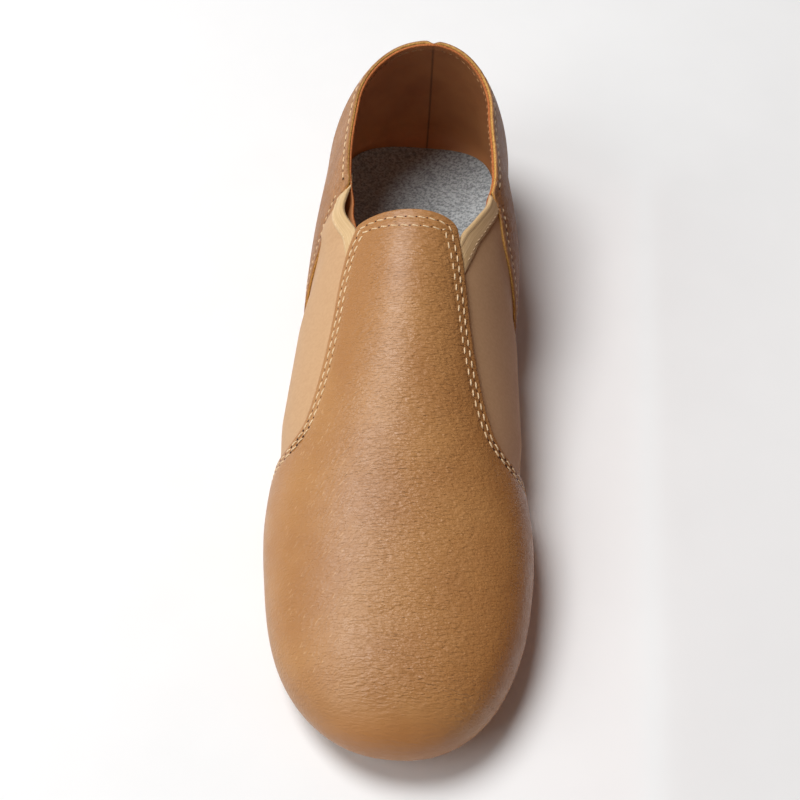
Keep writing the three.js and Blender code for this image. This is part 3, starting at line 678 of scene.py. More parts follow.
def lining_finish():
    """Brown lining leather: matt and finely napped, dark along its back seam."""
    f = Finish("lining_leather", 0.62, Coat_Weight=0.05, Coat_Roughness=0.5)
    nap, soft = f.noise(900, 3.0, 0.6), f.noise(55, 3.0, 0.5)
    seam_x = SECTIONS["ridge_x"][0] * BALL_WIDTH * MM
    away = f.math("ABSOLUTE", f.math("SUBTRACT", f.axis("X"), seam_x))
    seam = f.times(f.span(away, 0.0001, 0.0006, 1.0, 0.0), f.span(f.axis("Y"), 0.015, 0.022))
    colour = f.blend(f.span(soft, 0.3, 0.7), (186, 122, 76), (204, 140, 88))
    colour = f.blend(f.times(seam, 0.5), colour, (60, 32, 18))
    return f.done(colour, f.bumps((soft, 0.7), (nap, 0.08)))


def elastic_finish():
    """Elastic of the gores: fine upright cords with a faint knit across them."""
    f = Finish("gore_elastic", 0.85, Sheen_Weight=0.15, Sheen_Roughness=0.4)
    cords = f.noise(stretch=(1400, 1400, 120))
    colour = f.blend(f.span(cords, 0.3, 0.7), (193, 152, 111), (199, 159, 118))
    return f.done(colour, f.bumps((cords, 0.03), (f.noise(1500), 0.03)))


def binding_finish():
    """Folded elastic: pale ribs run along the band, by its own path map."""
    f = Finish("binding_elastic", 0.75, Sheen_Weight=0.2, Sheen_Roughness=0.4)
    path = f.node("ShaderNodeUVMap", uv_map="path").outputs[0]
    ribs = f.noise(stretch=(40, 2600, 1), place=path)
    weave = f.noise(stretch=(1500, 1500, 1), place=path)
    colour = f.blend(f.span(ribs, 0.3, 0.7), (198, 162, 114), (220, 188, 142))
    return f.done(colour, f.bumps((ribs, 0.16), (weave, 0.05)))


def felt_finish():
    """Grey pressed felt: short mixed fibres, light and dark."""
    f = Finish("grey_felt", 0.95, Sheen_Weight=0.25, Sheen_Roughness=0.5)
    fibres = f.noise(1500, 3.0, 0.6, stretch=(1, 0.6, 1), turn=(0, 0, 0.6))
    cross = f.noise(1300, 3.0, 0.6, stretch=(0.6, 1, 1), turn=(0, 0, 0.3))
    flecks = f.times(f.math("ADD", fibres, cross), 0.5)
    colour = f.blend(f.span(flecks, 0.38, 0.62), (118, 123, 125), (180, 186, 188))
    return f.done(colour, f.bumps((flecks, 0.35)))


def thread_finish(name, dark, light):
    """Sewing thread: a fine twist, with painted shade between its strands."""
    f = Finish(name, 0.65, Sheen_Weight=0.2)
    twist = f.noise(2600, stretch=(1, 1, 0.4))
    return f.done(f.blend(f.span(twist, 0.3, 0.7), dark, light), f.bumps((twist, 0.06)))


def needle_hole_shade_finish():
    """Painted shade for the inside of a needle hole, in dark browns."""
    f = Finish("needle_hole", 0.9)
    return f.done(f.blend(f.noise(900), (44, 20, 12), (70, 34, 20)))


def sole_finish():
    """Tan rubber of the treads: matt, faintly speckled and fine-grained."""
    f = Finish("sole_rubber", 0.72)
    grain, cloud = f.noise(1900, 3.0, 0.6), f.noise(60, 3.0, 0.5)
    colour = f.blend(f.span(cloud, 0.3, 0.7), (140, 98, 60), (156, 112, 72))
    colour = f.blend(f.span(grain, 0.62, 0.72, 0.0, 0.4), colour, (106, 70, 42))
    return f.done(colour, f.bumps((grain, 0.12)))


VAMP_LEATHER = vamp_finish()
QUARTER_LEATHER = quarter_finish()
CUT_EDGE = cut_edge_finish("cut_edge", (178, 124, 56), (224, 174, 92))
LINING_EDGE = cut_edge_finish("lining_edge", (160, 84, 38), (204, 122, 62))
LINING = lining_finish()
ELASTIC = elastic_finish()
BINDING = binding_finish()
FELT = felt_finish()
CREAM_THREAD = thread_finish("cream_thread", (206, 170, 126), (238, 212, 172))
TAN_THREAD = thread_finish("tan_thread", (150, 100, 56), (184, 132, 82))
# Painted shade that stands for the dark inside of the needle holes
HOLE_SHADE = needle_hole_shade_finish()
RUBBER = sole_finish()


# Vamp

# The last row on the cut edge, the length of a row at the tab in mm, how the
# rows close on the toe's tip, and the rows where edge and stitches start
VAMP_ROWS, TAB_ROW = 14.0, 10.2
TIP_POWER, TIP_UNDER, TAB_CROWD = 2.3, 0.3, 1.6
EDGE_START, SEAM_START = 10, 9.2

# Distances of the two stitch rows from the edge, at the sides and on the
# tab, and where the tab lies in degrees
SEAM_SIDE, SEAM_TAB = (1.9, 3.7), (2.9, 6.0)
TAB_TURN, TAB_WIDTH = 88, 26

# Distances from a cut edge where a grid has its lines, closest at a stitch row
NEAR_EDGE = np.array(
    [0, 0.1, 0.22, 0.4, 0.7, 1.1, 1.6, 2.1, 2.5, 2.9, 3.3, 3.9, 4.5, 4.9, 5.3, 5.8, 6.6, 7.6]
)


def vamp_place(row, across):
    """Share and turn of a place on the vamp. row runs from the tab along the
    edge to 14, then on to 15 at the toe's tip. across is -1 at the outer edge,
    0 on the ridge and 1 at the inner edge. Both numbers go straight from the
    edge to the ridge, but over the tab the share rounds its corners as a
    superellipse."""
    inner = across > 0
    inside = np.clip(1 - np.abs(across), 0, 1)
    on_edge = np.minimum(row, VAMP_ROWS)
    edge_share = np.where(inner, EDGE["med_at"](on_edge), EDGE["lat_at"](on_edge))
    edge_angle = np.where(inner, EDGE["med_angle"](on_edge), EDGE["lat_angle"](on_edge))
    corner = (1 - (1 - inside) ** TAB_CORNER) ** (1 / TAB_CORNER)
    square = mix(corner, inside, np.clip(on_edge, 0, 1))
    share = mix(edge_share, EDGE["ridge_at"](on_edge), np.where(on_edge < 1, square, inside))
    toe = np.clip(row - VAMP_ROWS, 0, 1)
    share = mix(share, 1.0, 1 - (1 - toe) ** TIP_POWER)
    angle = mix(mix(edge_angle, KEEL, ease(toe, 0, TIP_UNDER)), RIDGE, inside)
    return share, np.where(inner, 180 - angle, angle)


def vamp_edge_path(first_row, count=240):
    """The vamp's cut edge from the outer side, round the tab, to the inner, as
    points an even way apart."""
    rows = np.linspace(first_row, 0, count)
    wide = 1 - (1 - np.linspace(0, 1, count // 2)) ** TAB_CROWD
    parts = [
        vamp_place(rows, -np.ones(count)),
        vamp_place(0 * wide, wide - 1),
        vamp_place(0 * wide, (1 - wide)[::-1]),
        vamp_place(rows[::-1], np.ones(count)),
    ]
    share, turn = (np.concatenate([part[k][1:] for part in parts]) for k in (0, 1))
    length = run_length(last_point(share, turn))
    even = np.linspace(0, length[-1], 3 * count)
    return np.interp(even, length, share), np.interp(even, length, turn)


def vamp_grid():
    """Places of the vamp's grid. Its lines lie at NEAR_EDGE beside the cut
    edge, in real lengths, and spread evenly over the rest."""
    body_rows, toe_rows, middle_columns, probes, narrowest = 118, 34, 42, 30, 16
    near_tab = NEAR_EDGE / TAB_ROW
    body = np.linspace(near_tab[-1], VAMP_ROWS, body_rows)[1:]
    rows = np.concatenate([near_tab, body, VAMP_ROWS + np.linspace(0, 1, toe_rows)[1:]])
    sides = []
    for sign in SIDES.values():
        probe = np.linspace(1, 0, probes)
        share, turn = vamp_place(rows[:, None], sign * (probe[None, :] + TINY))
        width = np.linalg.norm(np.diff(last_point(share, turn), axis=1), axis=2).sum(1)
        near = NEAR_EDGE[None, :] / np.maximum(width, narrowest)[:, None]
        rest = mix(near[:, -1:], 1.0, np.linspace(0, 1, middle_columns)[None, 1:])
        across = sign * (1 - np.concatenate([near, rest], 1))
        sides.append(across if sign < 0 else across[:, ::-1][:, 1:])
    across = np.concatenate(sides, 1)
    return vamp_place(rows[:, None], np.where(np.abs(across) < TINY, 0, across))


def hollow(share, turn, at, width, depth):
    """A soft trough between two places: depth times a Gaussian of the distance
    to the line that joins them, faded at its ends."""
    place = last_point(share, turn)
    a, b = (last_point(*spot) for spot in at)
    run = b - a
    t = ((place - a) @ run) / (run @ run)
    away = np.linalg.norm(place - a - np.clip(t, 0, 1)[..., None] * run, axis=-1)
    ends = ease(t, -0.15, 0.25) * (1 - ease(t, 0.75, 1.15))
    return depth * bell(away, 0, width) * ends


# Each fold: its two ends as share and turn, its width and its depth in mm
VAMP_FOLDS = [
    (((0.86, 82), (0.85, 118)), 2.2, 0.22),
    (((0.875, 84), (0.868, 112)), 1.6, -0.12),
    (((0.62, 60), (0.6, 104)), 4.0, 0.16),
    (((0.7, 66), (0.69, 112)), 3.6, 0.14),
    (((0.655, 46), (0.63, 30)), 5.0, 0.3),
    (((0.655, 132), (0.63, 150)), 5.0, 0.3),
]


def seam_rows(turn):
    """Distances of the two rows of stitches from the vamp's edge. They lie
    close together at the sides and spread over the tab."""
    over_tab = bell(turn, TAB_TURN, TAB_WIDTH)
    return [mix(side, tab, over_tab) for side, tab in zip(SEAM_SIDE, SEAM_TAB)]


def make_vamp():
    """The toe leather. Its outer face is the last moved out by leather_offset,
    less the folds and the rounding of its edge, and its inner face lies one
    leather's thickness under that."""
    share, turn = vamp_grid()
    distance = distance_to(last_point(share, turn), last_point(*vamp_edge_path(EDGE_START)))
    top = leather_offset(distance, seam_rows(turn))
    for at, width, depth in VAMP_FOLDS:
        top = top - hollow(share, turn, at, width, depth)
    outer = layer(share, turn, top - rounded_edge(distance, EDGE_ROUND))
    inner = layer(share, turn, top - LEATHER)
    points, faces, rims = shell(outer, inner)
    put("vamp_leather", points, faces, [VAMP_LEATHER, CUT_EDGE], rims, ["vamp"])


def vamp_rows():
    """The two rows of stitches inside the vamp's edge."""
    share, turn = vamp_edge_path(SEAM_START)
    both = seam_rows(turn)
    offset = [leather_offset(distance, both) for distance in both]
    paths = [inset(share, turn, distance) for distance in both]
    return [sewn_row(*path, off, pitch=3.4, dash=0.74, slant=0.2) for path, off in zip(paths, offset)]


# Quarters

# Stitch rows under the collar and behind the front edge, the dip and gap at
# the back seam, the grid's size and rim, and how near the last the leather
# may come, all in mm, and the share where the rows by the back seam lie
COLLAR_ROW, FRONT_ROW = 2.3, 2.6
SEAM_DIP, SEAM_WIDTH, SEAM_GAP = 0.9, 1.3, 0.02
QUARTER_LENGTH, QUARTER_HEIGHT, QUARTER_RIM = 90, 84, 6
QUARTER_IN = 1.3
BACK_ROW_SHARE, BACK_ROW_SINK = 0.0085, 0.12


def crowded(whole, count):
    """Shares of a whole length that crowd at both ends like NEAR_EDGE."""
    start = NEAR_EDGE[NEAR_EDGE <= QUARTER_RIM] / whole
    middle = np.linspace(start[-1], 1 - start[-1], count)[1:-1]
    return np.concatenate([start, middle, 1 - start[::-1]])


def quarter_place(along, down, side):
    """along runs from the back seam (0) to the front edge (1), and down from
    the collar (0) to the lasting margin (1)."""
    share = along * FRONT[side](down)
    angle = mix(topline_angle(share, side), MARGIN, down)
    return share, to_turn(angle, side)


def quarter_front(side, count=160):
    """The quarter's front edge, from the margin up."""
    down = np.linspace(0, 1, count)[::-1]
    return quarter_place(np.ones(count), down, side)


def collar(side, count=200):
    """The collar's edge, from the front back to the seam."""
    along = np.linspace(1, 0, count)
    return quarter_place(along, np.zeros(count), side)


def make_quarter(side):
    """The leather of one side. Its outer face is the last moved out by
    leather_offset, less a channel under the collar's stitches, a Gaussian dip
    at the back seam and the rounding of its cut edges."""
    along, down = np.meshgrid(crowded(QUARTER_LENGTH, 66), crowded(QUARTER_HEIGHT, 52), indexing="ij")
    share, turn = quarter_place(along, down, side)
    base = last_point(share, turn)
    front = distance_to(base, last_point(*quarter_front(side)))
    top_edge = distance_to(base, last_point(*collar(side)))
    seam_turns = np.linspace(*quarter_place(0.0, np.array([0, 1]), side)[1], 60)
    seam = distance_to(base, last_point(0 * seam_turns, seam_turns))
    top = leather_offset(front, [FRONT_ROW])
    top = top - CHANNEL * bell(top_edge, COLLAR_ROW, CHANNEL_WIDTH) - SEAM_DIP * bell(seam, 0, SEAM_WIDTH)
    cut = rounded_edge(np.minimum(front, top_edge), EDGE_ROUND)
    sign = SIDES[side]
    shift = np.array([sign * SEAM_GAP, 0, 0]) * (share <= 0)[..., None]
    outer = layer(share, turn, top - cut) + shift
    inner = layer(share, turn, np.maximum(top - LEATHER, QUARTER_IN)) + shift
    points, faces, rims = shell(outer[:, ::sign], inner[:, ::sign])
    name = f"quarter_leather_{side}"
    put(name, points, faces, [QUARTER_LEATHER, CUT_EDGE], rims, [f"quarter_{side}"])


def quarter_rows():
    """On each quarter a row behind its front edge and one under its collar."""
    rows = []
    at_front = leather_offset(np.array(FRONT_ROW), [FRONT_ROW])
    at_collar = LEATHER_OUT - CHANNEL
    for side, sign in SIDES.items():
        share, turn = inset(*quarter_front(side), sign * FRONT_ROW)
        rows.append(sewn_row(share[4:-6], turn[4:-6], at_front, pitch=2.6, dash=0.5, slant=0.06))
        share, turn = inset(*collar(side), sign * COLLAR_ROW)
        rows.append(sewn_row(share[6:-8], turn[6:-8], at_collar, pitch=3.4, dash=0.72, slant=0.12))
    return rows


def back_rows():
    """Two upright rows, one on each side of the back seam."""
    rows = []
    down = np.linspace(0.07, 0.97, 80)
    share = np.full(len(down), BACK_ROW_SHARE)
    for side in SIDES:
        turn = to_turn(mix(topline_angle(share, side), MARGIN, down), side)
        rows.append(sewn_row(share, turn, LEATHER_OUT - BACK_ROW_SINK, pitch=3.4, dash=0.7, slant=0.1))
    return rows


# Lining

# Share of the lining's front edge, offsets and depths in mm, and the shares
# between which the outer front corner leans
LINING_FRONT = 0.372
LINING_TOP_OUT, SEAM_GROOVE, RIM_THINNED = 1.56, 0.35, 0.75
FLAP_LEAN, FLAP_START, FLAP_END = 1.8, (0.288, 0.31), (0.34, 0.37)
TOE_LINING_OUT, TAB_LINING_OUT = 0.55, 1.24


def lining_place(along, down):
    """along is -1 at the outer front edge, 0 at the back seam and 1 at the
    inner front edge. down is 0 at the top and 1 under the foot."""
    inner = along > 0
    share = np.abs(along) * LINING_FRONT
    low = 0.5 * ease(share, 0.29, 0.31)
    angle = np.where(inner, topline_angle(share, "medial", low), topline_angle(share, "lateral", low))
    angle = mix(angle, KEEL, down)
    return share, np.where(inner, 180 - angle, angle)


def make_lining():
    """Skin lining of the back half. Its two faces lie at offsets from the last
    that meet the quarters' leather at the collar, with a Gaussian groove at
    the back seam. The outer front corner leans inwards, off the gore."""
    down = np.concatenate([NEAR_EDGE[:8] / 120, np.linspace(0.03, 1, 70)])
    along, down = np.meshgrid(np.linspace(-1, 1, 181), down, indexing="ij")
    share, turn = lining_place(along, down)
    halves = np.linspace(-1, 0, 200), np.linspace(0, 1, 200) + TINY
    rim = np.concatenate([last_point(*lining_place(half, 0 * half)) for half in halves])
    edge = distance_to(last_point(share, turn), rim)
    meets = 1 - ease(share, 0.27, 0.3)
    outside = mix(LINING_OUT, LINING_TOP_OUT, meets * (1 - ease(edge, 2, 9)))
    groove = SEAM_GROOVE * bell(share * LENGTH, 0, 0.9) * ease(edge, 2, 6)
    inside = groove + RIM_THINNED * (1 - ease(edge, 0.3, 4)) * meets
    flap = ease(share, *FLAP_START) * (1 - ease(share, *FLAP_END)) * (along < 0)
    lean = FLAP_LEAN * flap * (1 - ease(edge, 2, 26))
    points, faces, rims = shell(layer(share, turn, outside - lean), layer(share, turn, inside - lean))
    put("lining_leather", points, faces, [LINING, LINING_EDGE], rims, ["upper"])


def make_toe_lining():
    """Lining under the vamp: the vamp's own places, a little shorter, between
    the last and an offset that grows under the tab."""
    rows = np.concatenate([np.linspace(0.04, VAMP_ROWS, 60), VAMP_ROWS + np.linspace(0, 1, 16)[1:]])
    across = np.linspace(-0.97, 0.97, 61)
    share, turn = vamp_place(rows[:, None], np.where(np.abs(across) < TINY, 0, across)[None, :])
    tab = 1 - ease(rows, 0.1, 1.2)[:, None]
    outside = np.broadcast_to(mix(TOE_LINING_OUT, TAB_LINING_OUT, tab), share.shape)
    points, faces, rims = shell(layer(share, turn, outside), layer(share, turn, 0 * share))
    put("toe_lining", points, faces, [LINING, LINING_EDGE], rims)


def collar_rows():
    """Small stitches just inside the collar's rim, on the lining."""
    rows = []
    for side, sign in SIDES.items():
        share, turn = inset(*collar(side), sign * 2.0)
        path = share[8:-4], turn[8:-4]
        rows.append(sewn_row(*path, -0.04, pitch=2.6, dash=0.62, slant=0.3, inside=True))
    return rows


# Elastic gores and their bindings

# Ends of the elastic as shares, the share from which its top is under the
# vamp, its swell in front of the quarters, and how far its top bows out:
# lengths in mm, with spans in shares and falls in mm under the top edge
GORE_BACK, GORE_FRONT = 0.25, 0.66
GORE_TUCK, GORE_LOW = 0.4, 0.7
GORE_BULGE, BULGE_ANGLE, BULGE_WIDTH = 1.6, 2, 26
BULGE_START, BULGE_END = (1, 14), (0.56, 0.63)
BOW, BOW_SPAN, BOW_FALL = 1.9, (0.283, 0.372), (2, 30)
INNER_BOW, INNER_SPAN, INNER_FALL = 0.15, (0.28, 0.38), (0, 24)

# A binding's width in mm, and how far it reaches under the quarter and the
# vamp, in shares
BAND = 4.8
BAND_TUCK = 0.016
BAND_FRONT = {"lateral": 0.418, "medial": 0.45}

# A binding's middle and half thickness, open and tucked, the powers that
# square its section, where it comes out from under the quarter, how far the
# fold stands up above which part of it, and between how many degrees inside
# the vamp's edge it passes under the vamp
BAND_CENTRE, BAND_HALF = (1.05, 0.68), (0.95, 0.5)
BAND_SQUARE = 0.55, 0.62
BAND_OUT = 0.018, 0.026
FOLD_RISE, FOLD_TOP = 0.35, 0.6
VAMP_COVER = -1.5, 1.0


def bowed(share, below, side):
    """How far a gore stands off the foot near its top edge: a sine along the
    edge that fades below it, wide on the outer side and slight on the inner."""
    if side == "medial":
        run = ease(share, *INNER_SPAN)
        return INNER_BOW * BOW * np.sin(np.pi * run) * (1 - ease(below, *INNER_FALL))
    run = np.clip((share - BOW_SPAN[0]) / (BOW_SPAN[1] - BOW_SPAN[0]), 0, 1)
    return BOW * np.sin(np.pi * run) ** 2 * (1 - ease(below, *BOW_FALL))


def front_share(angle, side):
    """Share of the quarter's front edge at an angle of the section."""
    share, turn = quarter_front(side)
    edge = turn if side == "lateral" else 180 - turn
    return np.interp(angle, edge, share)


def make_gores():
    """One sling of elastic: down from the outer gore's top edge, under the
    arch, and up to the inner gore's top edge. It lies at one offset from the
    last, bowed out at the top and swollen in front of the quarter's edge."""
    share, a = np.meshgrid(np.linspace(GORE_BACK, GORE_FRONT, 110), np.linspace(-1, 1, 181), indexing="ij")
    found = {}
    for side in SIDES:
        open_share = np.minimum(share, GORE_TUCK)
        angle = mix(topline_angle(open_share, side, GORE_LOW), KEEL, 1 - np.abs(a))
        turn = to_turn(angle, side)
        below = topline_height(open_share, side) - last_point(share, turn)[..., 2]
        found[side] = turn, angle, bowed(share, below, side), front_share(angle, side)
    turn, tilt, bow, front = (np.where(a > 0, *pair) for pair in zip(found["medial"], found["lateral"]))
    turn = np.where(np.abs(a) < TINY, KEEL, turn)
    past = (share - front) * LENGTH
    swell = ease(past, *BULGE_START) * (1 - ease(share, *BULGE_END))
    bulge = GORE_BULGE * bell(tilt, BULGE_ANGLE, BULGE_WIDTH) * swell
    outer = layer(share, turn, ELASTIC_OUT + bow + bulge)
    inside = layer(share, turn, ELASTIC_IN + bow + bulge)
    points, faces, rims = shell(outer[:, ::-1], inside[:, ::-1])
    put("elastic_gores", points, faces, [ELASTIC], rims)


def band_span(side):
    """Shares where a binding ends under the quarter and under the vamp."""
    return FRONT[side](0.0) - BAND_TUCK, BAND_FRONT[side]


def under_vamp(share, angle, side):
    """How many degrees a place lies inside the vamp's cut edge."""
    rows = np.linspace(0, 9, 91)
    at, edge = (EDGE[f"{side[:3]}_{name}"](rows) for name in ("at", "angle"))
    at = np.concatenate([[at[0] - 0.01], at])
    edge = np.concatenate([[edge[0] + 20], edge])
    return angle - np.interp(share, at, edge)


def make_binding(side):
    """A folded band carried along the gore's top edge. Its section is a
    superellipse, two leaves of elastic with a fold over the edge, and it thins
    where it is tucked under the leather."""
    first, last = band_span(side)
    q = np.linspace(0, 2 * np.pi, 49)[:-1]
    up, out = np.cos(q), np.sin(q)
    high = np.sign(up) * np.abs(up) ** BAND_SQUARE[0]
    thick = np.sign(out) * np.abs(out) ** BAND_SQUARE[1]
    share, below = np.meshgrid(np.linspace(first, last, 90), BAND / 2 * (1 - high), indexing="ij")
    angle = topline_angle(share, side, below)
    covered = ease(under_vamp(share, angle, side), *VAMP_COVER)
    tucked = 1 - ease(share - first, *BAND_OUT) * (1 - covered)
    offset = mix(*BAND_CENTRE, tucked) + mix(*BAND_HALF, tucked) * thick[None, :]
    offset = offset + bowed(share, below, side)
    points = layer(share, to_turn(angle, side), offset)
    points[..., 2] += FOLD_RISE * (1 - tucked) * (high[None, :] > FOLD_TOP)
    rows, cols = points.shape[:2]
    i, j = np.meshgrid(np.arange(rows - 1), np.arange(cols), indexing="ij")
    a = (i * cols + j).ravel()
    c = (i * cols + (j + 1) % cols).ravel()
    quads = np.stack([a, c, c + cols, a + cols], 1)
    caps = np.stack([np.arange(cols)[::-1], (rows - 1) * cols + np.arange(cols)])
    if side == "medial":
        quads, caps = quads[:, ::-1], caps[:, ::-1]
    length = run_length(points[:, 0])
    around = run_length(np.concatenate([points[rows // 2], points[rows // 2, :1]]))[:-1]
    uv = np.stack(np.meshgrid(length, around, indexing="ij"), -1).reshape(-1, 2) * MM
    name, faces = f"gore_binding_{side}", quads.tolist() + caps.tolist()
    put(name, points.reshape(-1, 3), faces, [BINDING], replaces=[f"binding_{side}"], uv=uv)


def binding_rows():
    """Fine stitches along the lower edge of each binding, where it shows."""
    rows = []
    for side in SIDES:
        first, last = band_span(side)
        share = np.linspace(first + 0.022, last, 120)
        below = np.full(len(share), BAND - 1.0)
        angle = topline_angle(share, side, below)
        clear = under_vamp(share, angle, side) < -2
        share, below, turn = share[clear], below[clear], to_turn(angle, side)[clear]
        offset = 1.98 + bowed(share, below, side)
        rows.append(sewn_row(share, turn, offset, pitch=2.2, dash=0.7, slant=0.16))
    return rows


# Felt and treads

# Ends as shares of the last's length, widths as shares of its width, and
# the rest in mm. FORE_BACK and HEEL_FRONT are how long the round ends are.
FELT_ENDS, FELT_WIDE, FELT_ROUND = (0.03, 0.972), 0.94, 2.7
FELT_THICK, FELT_RIM, FELT_WAVE = 2.3, 0.8, 0.12
FORE_ENDS, FORE_WIDE, FORE_BACK = (0.56, 0.966), 0.87, 0.07
HEEL_ENDS, HEEL_WIDE, HEEL_FRONT = (0.012, 0.315), 0.9, 0.06
TREAD_RIM, TREAD_TOP_RIM, TREAD_TUCK, GROOVE_SLOPE = 1.1, 0.8, 0.35, 0.25


def plan_half(share, side):
    """Half width of the last in plan, rounded off behind as a superellipse."""
    at = np.clip(share, 0, 1)
    heel_end = oval_end((FAN - at) / FAN, HEEL_ROUND)
    return section(at)[side] * np.where(at < FAN, heel_end, 1)


def bottom_height(x, y):
    """Height of the last's bottom over a place in plan."""
    share = np.clip((HEEL_BACK - y) / LENGTH, 0, 1)
    s = section(share)
    half = np.where(x < s["ridge_x"], s["lateral"], s["medial"])
    across = np.abs(x - s["ridge_x"]) / np.maximum(half, 0.01)
    behind = np.maximum(y - s["y"], 0) / (FAN * LENGTH)
    reach = (across**HEEL_ROUND + behind**HEEL_ROUND) ** (1 / HEEL_ROUND)
    return mix(s["belly"], s["bottom"], oval_end(np.minimum(reach, 0.98), s["square"]))


def under_bottom(x, y, depth):
    """Height of a layer that lies depth under the last's bottom."""
    step = 0.5
    slope_x = (bottom_height(x + step, y) - bottom_height(x - step, y)) / (2 * step)
    slope_y = (bottom_height(x, y + step) - bottom_height(x, y - step)) / (2 * step)
    return bottom_height(x, y) - depth * np.sqrt(1 + slope_x**2 + slope_y**2)


def plan_rows(shares, half_at):
    """Places of a slab in plan, and their distance to its outline. Each row
    lies across the shoe, and its places follow a sine so that they crowd at
    the rim."""
    places = np.linspace(-1, 1, 81)
    even = np.sin(np.radians(90 * places))
    halves = [half_at(shares, side)[:, None] for side in SIDES]
    x = section(shares)["ridge_x"][:, None] + even * np.where(places < 0, *halves)
    y = np.broadcast_to((HEEL_BACK - shares * LENGTH)[:, None], x.shape)
    flat = np.stack([x, y, 0 * x], -1)
    outline = np.concatenate([flat[:, 0], flat[::-1, -1], flat[:1, 0]])
    return x, y, distance_to(flat, outline)


def cosine_rows(first, last, count):
    """Shares between two ends that crowd at both, as a cosine does."""
    return mix(first, last, (1 - np.cos(np.linspace(0, np.pi, count))) / 2)


def make_insole():
    """A felt sheet on the last's bottom: its top is the bottom's height plus
    the felt's thickness and two crossed sines, with a rounded rim."""
    back, front = FELT_ENDS

    def half(share, side):
        behind = np.clip((FAN - share) / (FAN - back), 0, 1)
        heel = section(np.maximum(share, FAN))[side] * oval_end(behind, FELT_ROUND)
        toe = plan_half((share - back) / (front - back), side)
        fore = mix(section(share)[side], toe, ease(share, FAN, 0.4))
        return FELT_WIDE * np.where(share < FAN, heel, fore)

    x, y, distance = plan_rows(cosine_rows(back, front, 150), half)
    wave = FELT_WAVE * np.sin(x / 7 + 1) * np.sin(y / 11)
    bed = bottom_height(x, y)
    top = bed + FELT_THICK + wave - rounded_edge(distance, FELT_RIM)
    points, faces, rims = shell(np.stack([x, y, top], -1), np.stack([x, y, bed + CLEARANCE], -1))
    put("felt_insole", points, faces, [FELT], rims, ["insole"])


def tread(name, shares, half, floor_at, grooves, node):
    """A tread: its top lies under the wrapped leather, and its underside on
    the floor, with a rounded rim and grooves across, each a third of their
    pitch wide. grooves holds the first one's share, the last one's and their
    number."""
    x, y, distance = plan_rows(shares, half)
    first, last, count = grooves
    pitch = (last - first) / (count - 1)
    phase = np.abs((shares - first + pitch / 2) % pitch - pitch / 2) * LENGTH
    half_width = pitch * LENGTH / 6
    within = (shares > first - pitch / 2) & (shares < last + pitch / 2)
    groove = TREAD_STEP * (1 - ease(phase, half_width - GROOVE_SLOPE, half_width + GROOVE_SLOPE)) * within
    low = floor_at(shares)[:, None] + np.maximum(rounded_edge(distance, TREAD_RIM), groove[:, None])
    high = under_bottom(x, y, WRAP - TREAD_TUCK) - 0.6 * rounded_edge(distance, TREAD_TOP_RIM)
    high = np.maximum(high, low + CLEARANCE)
    points, faces, rims = shell(np.stack([x, y, high], -1), np.stack([x, y, low], -1))
    put(name, points, faces, [RUBBER], rims, [node])


def fore_half(share, side):
    """Half width of the forefoot tread, with a round end at its back."""
    back = oval_end(1 - (share - FORE_ENDS[0]) / FORE_BACK, TOE_ROUND)
    return FORE_WIDE * plan_half(share / FORE_ENDS[1], side) * back


def heel_half(share, side):
    """Half width of the heel tread, with a round end at its front."""
    back, front = HEEL_ENDS
    behind = FAN * (share - back) / (FAN - back)
    round_front = oval_end(1 - (front - share) / HEEL_FRONT, TOE_ROUND)
    return HEEL_WIDE * plan_half(np.where(share < FAN, behind, share), side) * round_front


def toe_lift(share):
    """Height of the forefoot tread's underside, flat up to the toe spring."""
    return np.maximum(lift(share) - CLEARANCE, 0)


def make_treads():
    """The two treads, with finer rows where their grooves lie."""
    shares = np.unique(np.concatenate([cosine_rows(*FORE_ENDS, 110), np.linspace(0.6, 0.87, 271)]))
    tread("forefoot_tread", shares, fore_half, toe_lift, (0.62, 0.85, 9), "outsole_forefoot")
    shares = np.unique(np.concatenate([cosine_rows(*HEEL_ENDS, 90), np.linspace(0.035, 0.285, 251)]))
    tread("heel_tread", shares, heel_half, np.zeros_like, (0.05, 0.27, 5), "outsole_heel")


# Stitching


def make_stitching():
    """All threads by piece, with radius and rise in mm, and the needle holes, painted dark as shade."""
    sewn = {
        "vamp_stitching": (vamp_rows(), 0.28, 0.19, CREAM_THREAD),
        "quarter_stitching": (quarter_rows() + back_rows(), 0.24, 0.15, CREAM_THREAD),
        "collar_stitching": (collar_rows(), 0.16, 0.07, TAN_THREAD),
        "binding_stitching": (binding_rows(), 0.15, 0.07, CREAM_THREAD),
    }
    for name, (rows, radius, rise, finish) in sewn.items():
        points, faces = thread(rows, radius, rise)
        put(name, points, faces, [finish])
    points, faces = pricks(sewn["vamp_stitching"][0] + sewn["quarter_stitching"][0], 0.42)
    put("needle_holes", points, faces, [HOLE_SHADE])


make_vamp()
make_quarter("lateral")
make_quarter("medial")
make_lining()
make_toe_lining()
make_gores()
make_binding("lateral")
make_binding("medial")
make_insole()
make_treads()
make_stitching()


# Floor, light and camera


def put_stage(name, corners, *colours):
    """Adds a flat sheet of the studio, in metres. It faces the side from which
    its corners run anticlockwise."""
    mesh = bpy.data.meshes.new(name)
    mesh.from_pydata(corners, [], [(0, 1, 2, 3)])
    f = Finish(name, 0.9)
    mesh.materials.append(f.done(f.blend(f.noise(40), *colours)))
    sheet = bpy.data.objects.new(name, mesh)
    bpy.context.scene.collection.objects.link(sheet)
    return sheet


def make_floor():
    """A plain pale floor just under the treads."""
    size, low = 3.0, -0.1 * MM
    corners = [(-size, -size, low), (size, -size, low), (size, size, low), (-size, size, low)]
    put_stage("studio_floor", corners, (243, 243, 243), (247, 247, 247))


